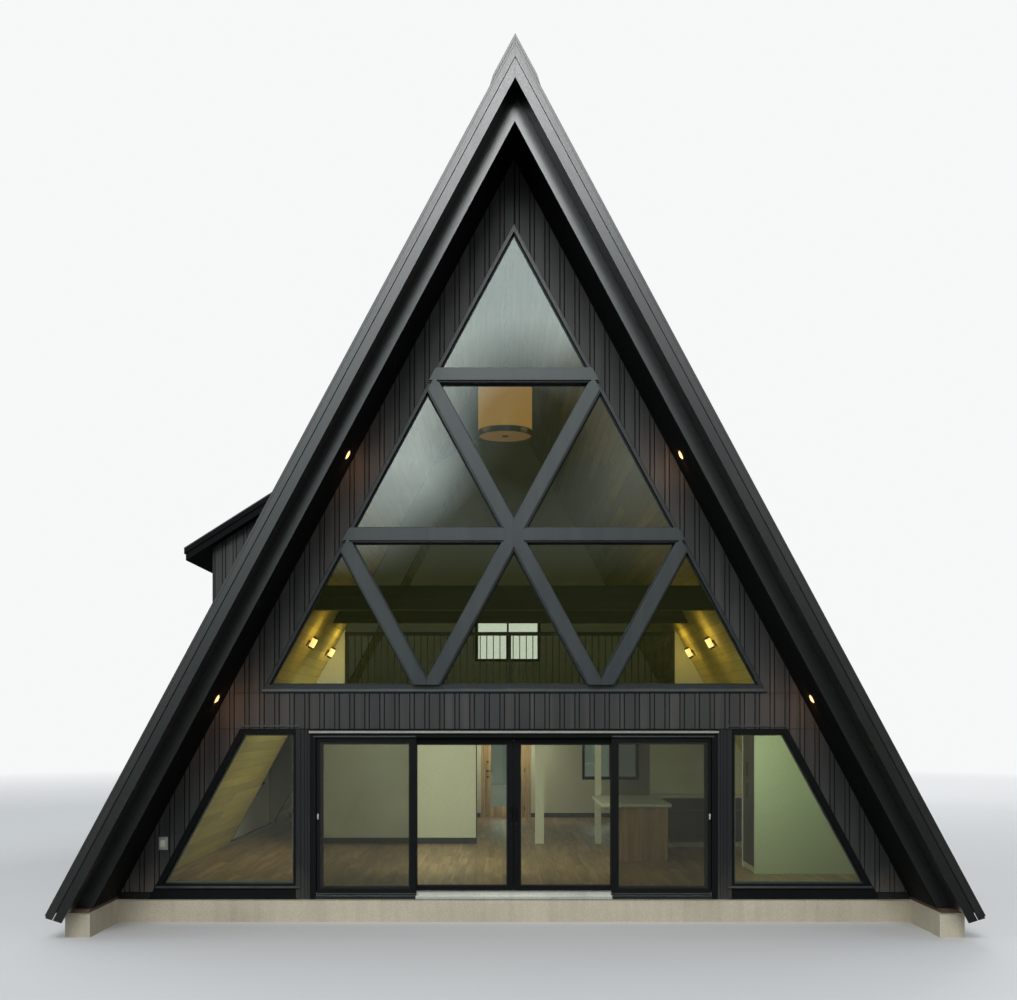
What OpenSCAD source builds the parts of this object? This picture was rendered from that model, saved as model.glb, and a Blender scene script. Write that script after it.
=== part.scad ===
// A-frame cabin: two steep roofs that run down to the foundation, a gable wall filled
// by a lattice of nine glass triangles, a four-panel patio door and a side dormer.
// Millimetres. X runs across the front, Y from the front to the back, Z up from the ground.

/* [Main roof] */
// Slope of the two main roofs, in degrees
roof_pitch = 61.8; // [61:0.1:62.5]
// Half the distance between the soffits where they would meet the ground
soffit_foot = 5296; // [5250:1:5350]
// Thickness of a main roof, from its soffit to the boards under the metal
roof_depth = 357; // [330:1:380]
// Height of the metal roofing's ribs above those boards
rib_top = 40; // [30:1:50]
// Thickness of the metal roofing between its ribs
pan_depth = 14; // [8:1:20]
// Distance from one roofing rib to the next
rib_pitch = 306; // [250:1:420]
// Width of one roofing rib
rib_width = 36; // [24:1:60]
// Reach of the roof's outer edge beyond the gable walls
rake_reach = 1400; // [1300:10:1500]
// Reach of the recessed inner fascia beyond the gable walls
inner_reach = 1000; // [900:10:1100]
// Height of the inner fascia, square to the slope
inner_fascia = 159; // [140:1:180]
// Height of the light outer fascia, square to the slope
outer_fascia = 106; // [90:1:120]

/* [House] */
// Distance between the outer faces of the two gable walls
house_length = 12500; // [12000:50:13000]
// Thickness of the gable walls
wall_depth = 200; // [180:5:220]
// Height of the foundation's top above the ground
foundation_top = 300; // [280:5:320]
// Thickness of the side foundation walls
foundation_depth = 300; // [250:5:320]
// Reach of the side foundation walls beyond the gable walls
wing_reach = 1100; // [1000:10:1150]
// Thickness of the timber plate on the foundation
sill_plate = 40; // [30:1:50]
// Height of the loft floor's top above the ground
loft_top = 3100; // [3050:10:3150]
// Thickness of the loft floor
loft_depth = 250; // [220:5:280]
// Distance from the front wall's face to the loft's edge and the partition below it
loft_setback = 6500; // [6400:10:6600]

/* [Front wall] */
// Height of the heads of the door and the side windows
head_height = 2500; // [2480:5:2520]
// Height of the belt of siding's top edge
belt_top = 2965; // [2950:5:2980]
// Height of the lowest edge of the gable glass
glass_sill = 3070; // [3050:5:3090]
// Height of the topmost corner of the gable glass
glass_apex = 8930; // [8900:5:8960]
// Half the width of the gable glass at its lowest edge
glass_half = 3160; // [3140:5:3180]
// Height of one row of triangles, between bar centres
row_height = 2065; // [2050:5:2080]
// Width of one triangle, between bar centres
triangle_width = 2250; // [2240:5:2260]
// Height of the lattice's lowest bar centres
lattice_base = 2940; // [2930:5:2950]
// Width of a lattice bar
bar_width = 190; // [170:5:200]
// Width of the thin frame round the gable glass
edge_frame = 45; // [40:1:60]
// Distance that the lattice bars stand out from the wall
bar_proud = 80; // [60:5:100]
// Width of the cap that stands proud on each lattice bar
cap_width = 150; // [130:5:170]
// Height of that cap above the bar
cap_height = 35; // [20:5:50]

/* [Patio door] */
// Half the width of the whole patio door
door_half = 2630; // [2620:5:2640]
// Width of the door frame's jambs
jamb_width = 70; // [60:1:75]
// Height of the door's sill above the ground
door_sill_top = 385; // [380:1:390]
// Distance from the middle to the inner edge of a fixed panel
fixed_inner = 1270; // [1260:1:1280]
// Width of the stiles of the glazed panels
stile_width = 75; // [65:1:80]
// Thickness of the glazed panels
panel_depth = 45; // [40:1:50]
// Height of the glazed panels' bottom rail
panel_rail = 60; // [50:1:80]
// Height of the insect screens' bottom rail
screen_rail = 85; // [70:1:95]
// Gap between one panel and what it passes
slide_gap = 10; // [6:1:12]

/* [Side windows] */
// Distance from the middle to the upright edge of a side window's glass
side_glass_inner = 2850; // [2840:5:2860]
// Distance from the middle to the slanted edge of the glass at its top
side_glass_top = 3490; // [3480:5:3500]
// Distance from the middle to the slanted edge of the glass at its foot
side_glass_foot = 4540; // [4530:5:4550]
// Height of the side windows' lowest edge of glass
side_glass_sill = 494; // [490:1:500]
// Height of the side windows' highest edge of glass
side_glass_head = 2440; // [2430:5:2450]
// Width of a side window's slanted frame bar
side_frame = 70; // [60:1:80]

/* [Dormer] */
// Slope of the dormer's roof, in degrees
dormer_pitch = 32.4; // [31:0.1:34]
// Distance from the middle to the dormer's eave
dormer_eave = 5850; // [5800:5:5900]
// Height of the dormer's eave, at its top edge
dormer_eave_height = 5680; // [5640:5:5720]
// Thickness of the dormer's roof
dormer_roof_depth = 200; // [180:5:220]
// Distance from the middle to the outer face of the dormer's long wall
dormer_wall = 5380; // [5370:1:5400]
// Thickness of the dormer's walls
dormer_wall_depth = 180; // [160:5:200]
// Length of the dormer's long wall
dormer_length = 4600; // [4400:50:4800]
// Reach of the dormer's roof beyond its end walls
dormer_reach = 300; // [250:10:350]

/* [Inside] */
// Thickness of the pale lining under the main roofs
lining_depth = 18; // [12:1:25]
// Height of the railing above the loft floor
railing_height = 1070; // [1000:10:1100]
// Distance from one baluster of the railing to the next
baluster_pitch = 120; // [100:5:140]
// Height of the kitchen's worktops above the floor
worktop_height = 920; // [880:10:940]
// Height of the dark beams' undersides, which tie the roofs across the great room
tie_beam_height = 4237; // [4200:1:4280]
// Depth of those beams
tie_beam_depth = 361; // [340:1:380]

/* [Hidden] */

black = [0.09, 0.09, 0.095];
charcoal = [0.16, 0.16, 0.165];
concrete = [0.72, 0.69, 0.63];
timber = [0.42, 0.31, 0.22];
plaster = [0.88, 0.86, 0.81];
glass_tint = [0.55, 0.65, 0.65, 0.5];

// Half gap of a mitre between two pieces of one kind
mitre = 1;
// Gap at a sloping face where two pieces lie against each other
fit = 1;
front_face = -house_length / 2;
back_face = house_length / 2;
front_inner = front_face + wall_depth;
back_inner = back_face - wall_depth;
floor_top = foundation_top + sill_plate;
side_wall_inner = 5120;
loft_edge = front_face + loft_setback;
metal_top = roof_depth + rib_top;
metal_foot = 300;

// Half-width of the plane that lies t above the right soffit, at height z
function slope_x(z, t) = soffit_foot + t / sin(roof_pitch) - z / tan(roof_pitch);
// Height at which that plane crosses the distance x from the middle
function slope_z(x, t) = (soffit_foot + t / sin(roof_pitch) - x) * tan(roof_pitch);
// Section of a layer of the right roof between t0 and t1, from height z to the ridge
function roof_band(t0, t1, z) = [
  [slope_x(z, t0), z],
  [slope_x(z, t1), z],
  [mitre, slope_z(mitre, t1)],
  [mitre, slope_z(mitre, t0)]
];

// Rise per unit of run of the gable glass's slanted edges
glass_slope = (glass_apex - glass_sill) / glass_half;
glass_angle = atan(glass_slope);
// Half-width at height z of the line that lies w outside the gable glass
function edge_x(z, w) = (glass_apex - z) / glass_slope + w / sin(glass_angle);
// Height of that line at the distance x from the middle
function edge_z(x, w) = glass_apex + (w / sin(glass_angle) - x) * glass_slope;

// Slanted edge of a side window's frame, w outside its glass, at height z
side_slope = (side_glass_head - side_glass_sill) / (side_glass_foot - side_glass_top);
side_angle = atan(side_slope);
function side_x(z, w) = side_glass_top + (side_glass_head - z) / side_slope + w / sin(side_angle);
side_post_inner = door_half;
side_post_outer = 2767;

// Height of the dormer roof's top and underside at the distance x left of the middle
function dormer_top_z(x) = dormer_eave_height + (dormer_eave - x) * tan(dormer_pitch);
dormer_drop = dormer_roof_depth / cos(dormer_pitch);
function dormer_under_z(x) = dormer_top_z(x) - dormer_drop;
// Distance from the middle at which a line h below the dormer's top meets the plane t
function dormer_meet_x(h, t) =
  (slope_z(0, t) - dormer_eave_height - dormer_eave * tan(dormer_pitch) + h)
  / (tan(roof_pitch) - tan(dormer_pitch));
dormer_front = loft_edge;
dormer_back = dormer_front + dormer_length;

// Depths of the patio door's three tracks, from the outside in
screen_depth = 20;
screen_y = front_face + 5;
fixed_y = screen_y + screen_depth + slide_gap;
slider_y = fixed_y + panel_depth + slide_gap;
slider_inner = 5;
slider_outer = fixed_inner + stile_width;
panel_top = head_height - 110;
frame_front = front_face - 20;
glass_depth = 24;
glass_y = front_face + 60;

// Draws a section given in X and Z, from one depth to another
module along(y0, y1) {
  translate([0, y1, 0])
    rotate([90, 0, 0])
      linear_extrude(height = y1 - y0)
        children();
}

// Draws a box between two corners
module box(low, high) {
  translate(low)
    cube(high - low);
}

// Repeats its children on the left
module both_sides() {
  children();
  mirror([1, 0, 0])
    children();
}

// Repeats its children at the back
module both_ends() {
  children();
  mirror([0, 1, 0])
    children();
}

// Turns a section of depth and thickness so that it runs down a slope to the right, which
// crosses the middle at the given height
module down_slope(pitch, height) {
  translate([0, 0, height])
    rotate([0, pitch, 0])
      rotate([90, 0, 90])
        children();
}

// A frame of four bars round a rectangle, standing in the plane of the front wall
module panel_frame(x0, x1, z0, z1, y0, y1, left, right, top, bottom) {
  along(y0, y1)
    difference() {
      translate([x0, z0])
        square([x1 - x0, z1 - z0]);
      translate([x0 + left, z0 + bottom])
        square([x1 - x0 - left - right, z1 - z0 - top - bottom]);
    }
}

module foundation_side_walls() {
  reach = back_face + wing_reach;
  color(concrete)
    both_sides()
      box([side_wall_inner, -reach, 0], [side_wall_inner + foundation_depth, reach, foundation_top]);
}

module foundation_end_walls() {
  color(concrete)
    both_ends()
      box([-side_wall_inner, front_face, 0], [side_wall_inner, front_inner, foundation_top]);
}

module sill_plates() {
  overhang = 25;
  reach = back_face + wing_reach + overhang;
  color(timber)
    both_sides()
      box([side_wall_inner, -reach, foundation_top],
          [side_wall_inner + foundation_depth + overhang, reach, floor_top]);
}

module ground_floor() {
  color([0.52, 0.45, 0.38])
    box([-side_wall_inner, front_inner, 0], [side_wall_inner, back_inner, floor_top]);
}

module roof_right() {
  color(black)
    along(front_face - inner_reach, back_face + inner_reach)
      polygon([
        [slope_x(floor_top, 0), floor_top],
        [slope_x(floor_top, roof_depth), floor_top],
        [0, slope_z(0, roof_depth)],
        [0, slope_z(0, 0)]
      ]);
}

// The left roof over its full height, between two depths
module left_roof(y0, y1) {
  mirror([1, 0, 0])
    along(y0, y1)
      polygon([
        [slope_x(floor_top, 0), floor_top],
        [slope_x(floor_top, roof_depth), floor_top],
        [0, slope_z(0, roof_depth)],
        [0, slope_z(0, 0)]
      ]);
}

module roof_left_front() {
  color(black)
    left_roof(front_face - inner_reach, dormer_front);
}

module roof_left_back() {
  color(black)
    left_roof(dormer_back, back_face + inner_reach);
}

// The part of the left roof that is left above the dormer
module roof_left_upper() {
  outer_x = dormer_meet_x(dormer_drop, roof_depth);
  inner_x = dormer_meet_x(dormer_drop, 0);
  color(black)
    mirror([1, 0, 0])
      along(dormer_front, dormer_back)
        polygon([
          [inner_x, dormer_under_z(inner_x)],
          [outer_x, dormer_under_z(outer_x)],
          [0, slope_z(0, roof_depth)],
          [0, slope_z(0, 0)]
        ]);
}

// The section of ribbed roofing: flat pans from low to pan, and ribs with sloped sides to top
module ribbed_section(reach, low, pan, top) {
  count = floor(2 * reach / rib_pitch);
  first = -rib_pitch * (count - 1) / 2;
  side = rib_width / 4;
  ribs = [
    for (i = [0 : count - 1])
      let (y = first + i * rib_pitch)
        each [
          [y - rib_width / 2, pan],
          [y - rib_width / 2 + side, top],
          [y + rib_width / 2 - side, top],
          [y + rib_width / 2, pan]
        ]
  ];
  polygon(concat([[-reach, low], [-reach, pan]], ribs, [[reach, pan], [reach, low]]));
}

// One slope of roofing, from just below the ridge to its drip edge
module roofing_slope() {
  start = -(roof_depth * sin(roof_pitch) - 60) / cos(roof_pitch);
  end = (slope_x(metal_foot, roof_depth) - roof_depth * sin(roof_pitch)) / cos(roof_pitch);
  down_slope(roof_pitch, slope_z(0, 0))
    translate([0, 0, start])
      linear_extrude(height = end - start)
        ribbed_section(back_face + rake_reach, roof_depth + fit, roof_depth + pan_depth, metal_top);
}

// The dormer's own roofing, which ends along the main roofing
module dormer_roofing() {
  reach = dormer_length / 2 + dormer_reach;
  spare = 100;
  middle = (dormer_front + dormer_back) / 2;
  intersection() {
    down_slope(dormer_pitch, dormer_top_z(0))
      translate([middle, 0, 0])
        linear_extrude(height = (dormer_eave + spare) / cos(dormer_pitch))
          ribbed_section(reach, fit - pan_depth, 0, rib_top - pan_depth);
    along(middle - reach - 1, middle + reach + 1)
      dormer_layer(-spare, spare, dormer_eave);
  }
}

module metal_roofing() {
  meet = dormer_meet_x(dormer_drop, 0);
  color(charcoal) {
    roofing_slope();
    difference() {
      mirror([1, 0, 0])
        roofing_slope();
      mirror([1, 0, 0])
        along(dormer_front, dormer_back)
          polygon([
            [meet, 0],
            [dormer_eave, 0],
            [dormer_eave, dormer_under_z(dormer_eave)],
            [meet, dormer_under_z(meet)]
          ]);
    }
    mirror([1, 0, 0])
      dormer_roofing();
  }
}

module ridge_cap() {
  wing = 260;
  cap = 6;
  reach = back_face + rake_reach;
  color(charcoal)
    along(-reach, reach)
      polygon([
        [-wing, slope_z(wing, metal_top + fit)],
        [0, slope_z(0, metal_top + fit)],
        [wing, slope_z(wing, metal_top + fit)],
        [wing, slope_z(wing, metal_top + cap)],
        [0, slope_z(0, metal_top + cap)],
        [-wing, slope_z(wing, metal_top + cap)]
      ]);
}

// Section of a board on the roof's outer edge between t0 and t1, with a slanted foot
function rake_board(t0, t1) = [
  [slope_x(rake_foot_z(t0), t0), rake_foot_z(t0)],
  [slope_x(rake_foot_z(t1), t1), rake_foot_z(t1)],
  [mitre, slope_z(mitre, t1)],
  [mitre, slope_z(mitre, t0)]
];
// Height of that foot at the layer t: it rises from the soffit's side to the roof's side
function rake_foot_z(t) = 220 + 60 * (t - inner_fascia) / (roof_depth - inner_fascia);

// The box at the roof's outer edge: a light fascia below a dark roof edge, with a groove
module outer_rakes() {
  groove = 12;
  step = 20;
  outer = front_face - rake_reach;
  inner = front_face - inner_reach;
  color(charcoal)
    both_ends()
      both_sides() {
        along(outer + step, inner)
          polygon(roof_band(inner_fascia, roof_depth, floor_top));
        along(outer, outer + step)
          polygon(rake_board(inner_fascia, inner_fascia + outer_fascia));
        along(outer, outer + step)
          polygon(rake_board(inner_fascia + outer_fascia + groove, roof_depth));
      }
}

module inner_rakes() {
  board = 22;
  face = front_face - inner_reach;
  color(charcoal)
    both_ends()
      both_sides()
        along(face - board, face)
          polygon(roof_band(0, inner_fascia, floor_top));
}

// One field of lining under the right roof, between two depths
module lining_field(y0, y1) {
  along(y0, y1)
    polygon(roof_band(-lining_depth, 0, floor_top));
}

module roof_lining() {
  outer_x = dormer_meet_x(dormer_drop, 0);
  inner_x = dormer_meet_x(dormer_drop, -lining_depth);
  color(plaster) {
    lining_field(front_inner, back_inner);
    mirror([1, 0, 0]) {
      lining_field(front_inner, dormer_front - mitre);
      lining_field(dormer_back + mitre, back_inner);
      along(dormer_front + mitre, dormer_back - mitre)
        polygon([
          [inner_x, dormer_under_z(inner_x)],
          [outer_x, dormer_under_z(outer_x)],
          [mitre, slope_z(mitre, 0)],
          [mitre, slope_z(mitre, -lining_depth)]
        ]);
    }
  }
}

module front_gable_walls() {
  color(charcoal)
    both_sides()
      along(front_face, front_inner)
        polygon([
          [edge_x(belt_top, edge_frame + fit), belt_top],
          [slope_x(belt_top, -fit), belt_top],
          [mitre, slope_z(mitre, -fit)],
          [mitre, edge_z(mitre, edge_frame + fit)]
        ]);
}

module belt_wall() {
  low = slope_x(head_height, -fit);
  high = slope_x(belt_top, -fit);
  color(charcoal)
    along(front_face, front_inner)
      polygon([[-low, head_height], [low, head_height], [high, belt_top], [-high, belt_top]]);
}

module front_lower_walls() {
  color(charcoal)
    both_sides() {
      along(front_face, front_inner)
        polygon([
          [side_x(foundation_top, side_frame + fit), foundation_top],
          [slope_x(floor_top, -fit), foundation_top],
          [slope_x(floor_top, -fit), floor_top],
          [slope_x(head_height, -fit), head_height],
          [side_x(head_height, side_frame + fit), head_height]
        ]);
      box([side_post_inner, front_face, foundation_top], [side_post_outer, front_inner, head_height]);
    }
}

module triangle_window_frame() {
  sill_low = edge_x(belt_top, edge_frame);
  sill_high = edge_x(glass_sill, edge_frame);
  start = glass_sill + mitre;
  color(black) {
    along(frame_front, front_inner)
      polygon([
        [-sill_low, belt_top], [sill_low, belt_top], [sill_high, glass_sill], [-sill_high, glass_sill]
      ]);
    both_sides()
      along(frame_front, front_inner)
        polygon([
          [edge_x(start, fit), start],
          [edge_x(start, edge_frame), start],
          [mitre, edge_z(mitre, edge_frame)],
          [mitre, edge_z(mitre, fit)]
        ]);
  }
}

// The area of the gable glass, as a plain triangle
module glass_outline() {
  polygon([[-glass_half, glass_sill], [glass_half, glass_sill], [0, glass_apex]]);
}

// One crossbeam's outline at height z, reaching w beyond the glass at its slanted ends
module beam_outline(z, w, width) {
  low = z - width / 2;
  high = z + width / 2;
  polygon([
    [-edge_x(low, w), low], [edge_x(low, w), low],
    [edge_x(high, w), high], [-edge_x(high, w), high]
  ]);
}

// A diagonal's outline: a slanted strip from one lattice point to another, within its cell
// and clear of the crossbeams' width, with a gap at the upright lines to the next diagonal
module diagonal_outline(x0, z0, x1, z1, gap, width) {
  spread = width / 2 / sin(atan2(abs(z1 - z0), abs(x1 - x0)));
  cell_x = min(x0, x1) + gap;
  cell_low = max(z0 + width / 2, glass_sill);
  intersection() {
    glass_outline();
    polygon([[x0 - spread, z0], [x0 + spread, z0], [x1 + spread, z1], [x1 - spread, z1]]);
    translate([cell_x, cell_low])
      square([abs(x1 - x0) - 2 * gap, z1 - width / 2 - cell_low]);
  }
}

// All the diagonals: two in the middle row and four in the lowest row
module diagonals_outline(gap, width) {
  low = lattice_base;
  middle = lattice_base + row_height;
  high = lattice_base + 2 * row_height;
  half = triangle_width / 2;
  for (side = [-1, 1]) {
    diagonal_outline(0, middle, side * half, high, gap, width);
    diagonal_outline(side * half, low, 0, middle, gap, width);
    diagonal_outline(side * half, low, side * triangle_width, middle, gap, width);
  }
}

// Depth of the plane on which the lattice bars' caps stand
cap_foot = front_face - bar_proud + cap_height;

// The crossbeams run over the thin frame in front and carry a narrower cap
module window_beams() {
  color(black)
    for (row = [1, 2]) {
      z = lattice_base + row * row_height;
      along(cap_foot, front_inner)
        beam_outline(z, 0, bar_width);
      along(cap_foot, frame_front)
        beam_outline(z, edge_frame, bar_width);
      along(front_face - bar_proud, cap_foot)
        beam_outline(z, edge_frame, cap_width);
    }
}

// The diagonals carry the same cap, which runs on to the crossbeams' caps
module window_diagonals() {
  color(black) {
    along(cap_foot, front_inner)
      diagonals_outline(mitre, bar_width);
    along(front_face - bar_proud, cap_foot)
      diagonals_outline(mitre, cap_width);
  }
}

module triangle_glass() {
  cut = 5;
  color(glass_tint)
    difference() {
      along(glass_y, glass_y + glass_depth)
        glass_outline();
      along(glass_y - cut, glass_y + glass_depth + cut)
        for (row = [1, 2])
          translate([-glass_half, lattice_base + row * row_height - bar_width / 2])
            square([2 * glass_half, bar_width]);
      along(glass_y - cut, glass_y + glass_depth + cut)
        diagonals_outline(0, bar_width);
    }
}

// The outline of a side window's glass on the right
module side_glass_outline() {
  polygon([
    [side_glass_inner, side_glass_sill],
    [side_x(side_glass_sill, 0), side_glass_sill],
    [side_x(side_glass_head, 0), side_glass_head],
    [side_glass_inner, side_glass_head]
  ]);
}

// The panes of the side windows and of the patio door's fixed panels
module front_panes() {
  both_sides() {
    along(glass_y, glass_y + glass_depth)
      side_glass_outline();
    box([fixed_inner + stile_width, fixed_y + 12, door_sill_top + panel_rail],
        [door_half - jamb_width - stile_width, fixed_y + 12 + glass_depth, panel_top - stile_width]);
  }
}

module door_head() {
  lip = 14;
  color(black) {
    box([-door_half, frame_front, panel_top], [door_half, front_inner, head_height]);
    box([-door_half - lip, frame_front - 30, panel_top + 55],
        [door_half + lip, front_face, head_height - 5]);
  }
}

module door_jambs() {
  color(black)
    both_sides()
      box([door_half - jamb_width, frame_front, foundation_top], [door_half, front_inner, panel_top]);
}

module door_sill() {
  half = door_half - jamb_width;
  ledge = foundation_top + 35;
  color([0.62, 0.6, 0.56]) {
    box([-half, frame_front, foundation_top], [half, front_inner, ledge]);
    box([-half, fixed_y, foundation_top], [half, front_inner, door_sill_top]);
    track_rib(half, screen_y + screen_depth / 2, ledge);
    track_rib(half, slider_y + panel_depth / 2, door_sill_top);
  }
}

// A low rib that a panel's rollers run on
module track_rib(half, y, z) {
  box([-half, y - 3, z], [half, y + 3, z + 4]);
}

module fixed_panel_frames() {
  color(black)
    both_sides()
      panel_frame(fixed_inner, door_half - jamb_width, door_sill_top, panel_top,
        fixed_y, fixed_y + panel_depth, stile_width, stile_width, stile_width, panel_rail);
}

// A sliding panel's frame with its handle, on the right
module slider_frame() {
  low = door_sill_top + slide_gap;
  high = panel_top - slide_gap;
  panel_frame(slider_inner, slider_outer, low, high,
    slider_y, slider_y + panel_depth, stile_width, stile_width, stile_width, panel_rail);
  x = slider_inner + stile_width / 2 - 12;
  for (z = [1335, 1465])
    box([x - 8, slider_y - 30, z], [x + 8, slider_y, z + 20]);
  translate([x, slider_y - 30, 1320])
    cylinder(h = 180, r = 9, $fn = 32);
}

module slider_glass() {
  low = door_sill_top + slide_gap + panel_rail;
  high = panel_top - slide_gap - stile_width;
  box([slider_inner + stile_width, slider_y + 12, low],
      [slider_outer - stile_width, slider_y + 12 + glass_depth, high]);
}

// An insect screen with its pull, parked in front of the fixed panel on the right
module screen() {
  low = foundation_top + 45;
  high = panel_top - slide_gap;
  inner = fixed_inner - 8;
  outer = door_half - jamb_width - slide_gap;
  panel_frame(inner, outer, low, high,
    screen_y, screen_y + screen_depth, 80, 30, 40, screen_rail);
  box([inner + 80, screen_y + 8, low + screen_rail], [outer - 30, screen_y + 12, high - 40]);
  box([outer - 25, screen_y - 12, 1330], [outer - 5, screen_y, 1400]);
}

module left_slider_frame() {
  color(black)
    mirror([1, 0, 0])
      slider_frame();
}

module right_slider_frame() {
  color(black)
    slider_frame();
}

module left_slider_glass() {
  color(glass_tint)
    mirror([1, 0, 0])
      slider_glass();
}

module right_slider_glass() {
  color(glass_tint)
    slider_glass();
}

module left_screen() {
  color([0.3, 0.3, 0.29])
    mirror([1, 0, 0])
      screen();
}

module right_screen() {
  color([0.3, 0.3, 0.29])
    screen();
}

// The dormer's windows: two above two, each at [lowest depth, lowest height]
dormer_window = [1200, 1100];
dormer_window_y = [dormer_front + 700, dormer_back - 700 - dormer_window[0]];
dormer_window_z = [1200, 4050];

// A block in each of the dormer's window openings, between two distances from the middle
module dormer_window_blocks(x0, x1, inset) {
  for (y = dormer_window_y)
    for (z = dormer_window_z)
      box([-x1, y + inset, z + inset],
          [-x0, y + dormer_window[0] - inset, z + dormer_window[1] - inset]);
}

module dormer_long_wall() {
  inner = dormer_wall - dormer_wall_depth;
  color(charcoal)
    difference() {
      mirror([1, 0, 0])
        along(dormer_front, dormer_back)
          polygon([
            [inner, floor_top],
            [dormer_wall, floor_top],
            [dormer_wall, dormer_under_z(dormer_wall) - fit],
            [inner, dormer_under_z(inner) - fit]
          ]);
      dormer_window_blocks(inner - 5, dormer_wall + 5, 0);
    }
}

module dormer_end_walls() {
  inner = dormer_wall - dormer_wall_depth;
  meet = dormer_meet_x(dormer_drop, 0);
  color(charcoal)
    mirror([1, 0, 0])
      for (y = [dormer_front, dormer_back - dormer_wall_depth])
        along(y, y + dormer_wall_depth)
          polygon([
            [slope_x(floor_top, 0), floor_top],
            [inner, floor_top],
            [inner, dormer_under_z(inner) - fit],
            [meet, dormer_under_z(meet) - fit]
          ]);
}

// A layer of the dormer's roof between h0 and h1 below its top, out to the distance x
module dormer_layer(h0, h1, x) {
  polygon([
    [dormer_meet_x(h0, metal_top + fit), dormer_top_z(dormer_meet_x(h0, metal_top + fit)) - h0],
    [x, dormer_top_z(x) - h0],
    [x, dormer_top_z(x) - h1],
    [dormer_meet_x(h1, metal_top + fit), dormer_top_z(dormer_meet_x(h1, metal_top + fit)) - h1]
  ]);
}

// The dormer's roof under its roofing, with an edge in two steps: a roof edge over a fascia
module dormer_roof() {
  step = 25;
  edge = 0.45 * dormer_drop;
  color(charcoal)
    mirror([1, 0, 0]) {
      along(dormer_front - dormer_reach, dormer_back + dormer_reach)
        dormer_layer(pan_depth / cos(dormer_pitch), edge, dormer_eave);
      along(dormer_front - dormer_reach + step, dormer_back + dormer_reach - step)
        dormer_layer(edge, dormer_drop, dormer_eave - step);
    }
}

// The back door's opening and the back windows, in X and Z
back_door_x = [-530, 390];
back_head = 2400;
back_window = [1300, 1100];
back_window_x = 1700;
back_window_z = 1200;
upper_window = [1500, 1400];
upper_window_z = 3900;

module back_lower_walls() {
  color(charcoal)
    for (side = [0, 1])
      mirror([1 - side, 0, 0]) {
        jamb = side == 1 ? back_door_x[1] : -back_door_x[0];
        along(back_inner, back_face)
          difference() {
            polygon([
              [jamb, foundation_top],
              [slope_x(floor_top, -fit), foundation_top],
              [slope_x(floor_top, -fit), floor_top],
              [slope_x(back_head, -fit), back_head],
              [jamb, back_head]
            ]);
            translate([back_window_x, back_window_z])
              square(back_window);
          }
      }
}

module back_gable_wall() {
  low = slope_x(back_head, -fit);
  color(charcoal)
    along(back_inner, back_face)
      difference() {
        polygon([[-low, back_head], [low, back_head], [0, slope_z(0, -fit)]]);
        translate([-upper_window[0] / 2, upper_window_z])
          square(upper_window);
      }
}

// Width of the frames of the back's and the dormer's windows
rear_bar = 50;

// A back window's frame with its lower left corner at [x, z]
module back_window_frame(x, z, size) {
  panel_frame(x, x + size[0], z, z + size[1], back_inner + 60, back_face + 15,
    rear_bar, rear_bar, rear_bar, rear_bar);
}

// The frame of the slanted window on the right
module side_window_frame() {
  along(frame_front, front_inner)
    difference() {
      polygon([
        [side_post_outer, foundation_top],
        [side_x(foundation_top, side_frame), foundation_top],
        [side_x(head_height, side_frame), head_height],
        [side_post_outer, head_height]
      ]);
      side_glass_outline();
    }
}

// The slanted side windows' frames and the plain frames at the back and on the dormer
module window_frames() {
  color(black) {
    both_sides() {
      side_window_frame();
      back_window_frame(back_window_x, back_window_z, back_window);
    }
    back_window_frame(-upper_window[0] / 2, upper_window_z, upper_window);
    difference() {
      dormer_window_blocks(dormer_wall - 130, dormer_wall + 15, 0);
      dormer_window_blocks(dormer_wall - 135, dormer_wall + 20, rear_bar);
    }
  }
}

// The panes at the back and on the dormer
module rear_panes() {
  y = back_face - 90;
  both_sides()
    box([back_window_x + rear_bar, y, back_window_z + rear_bar],
        [back_window_x + back_window[0] - rear_bar, y + glass_depth,
         back_window_z + back_window[1] - rear_bar]);
  box([-upper_window[0] / 2 + rear_bar, y, upper_window_z + rear_bar],
      [upper_window[0] / 2 - rear_bar, y + glass_depth, upper_window_z + upper_window[1] - rear_bar]);
  dormer_window_blocks(dormer_wall - 100, dormer_wall - 100 + glass_depth, rear_bar);
}

module window_glass() {
  color(glass_tint) {
    front_panes();
    rear_panes();
  }
}

// A glazed leaf with a lever handle and a bolt's turn above it, hinged on the right as seen
// from the hall
module back_door() {
  gap = 6;
  leaf = 45;
  y = back_inner + gap;
  x0 = back_door_x[0] + slide_gap;
  x1 = back_door_x[1] - gap;
  low = floor_top + 12;
  high = back_head - gap;
  stile = 120;
  color([0.62, 0.45, 0.27])
    panel_frame(x0, x1, low, high, y, y + leaf, stile, stile, stile, 220);
  color(glass_tint)
    box([x0 + stile, y + 14, low + 220], [x1 - stile, y + 30, high - stile]);
  color(black) {
    for (z = [low + 150, (low + high) / 2, high - 240])
      leaf_hinge(x1, y, z);
    lever_handle(x0 + stile / 2, y, 1400);
    lock_rose(x0 + stile / 2, y, 1610);
  }
}

// A butt hinge's barrel and the plate that joins it to the leaf's edge at x and face at y
module leaf_hinge(x, y, z) {
  barrel = 8;
  height = 90;
  translate([x + 3, y - 20, z])
    cylinder(h = height, r = barrel, $fn = 32);
  box([x - 6, y - 22, z], [x, y, z + height]);
}

// A round rose on the leaf's inner face at y
module lock_rose(x, y, z) {
  translate([x, y, z])
    rotate([90, 0, 0])
      cylinder(h = 10, r = 26, $fn = 40);
}

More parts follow.
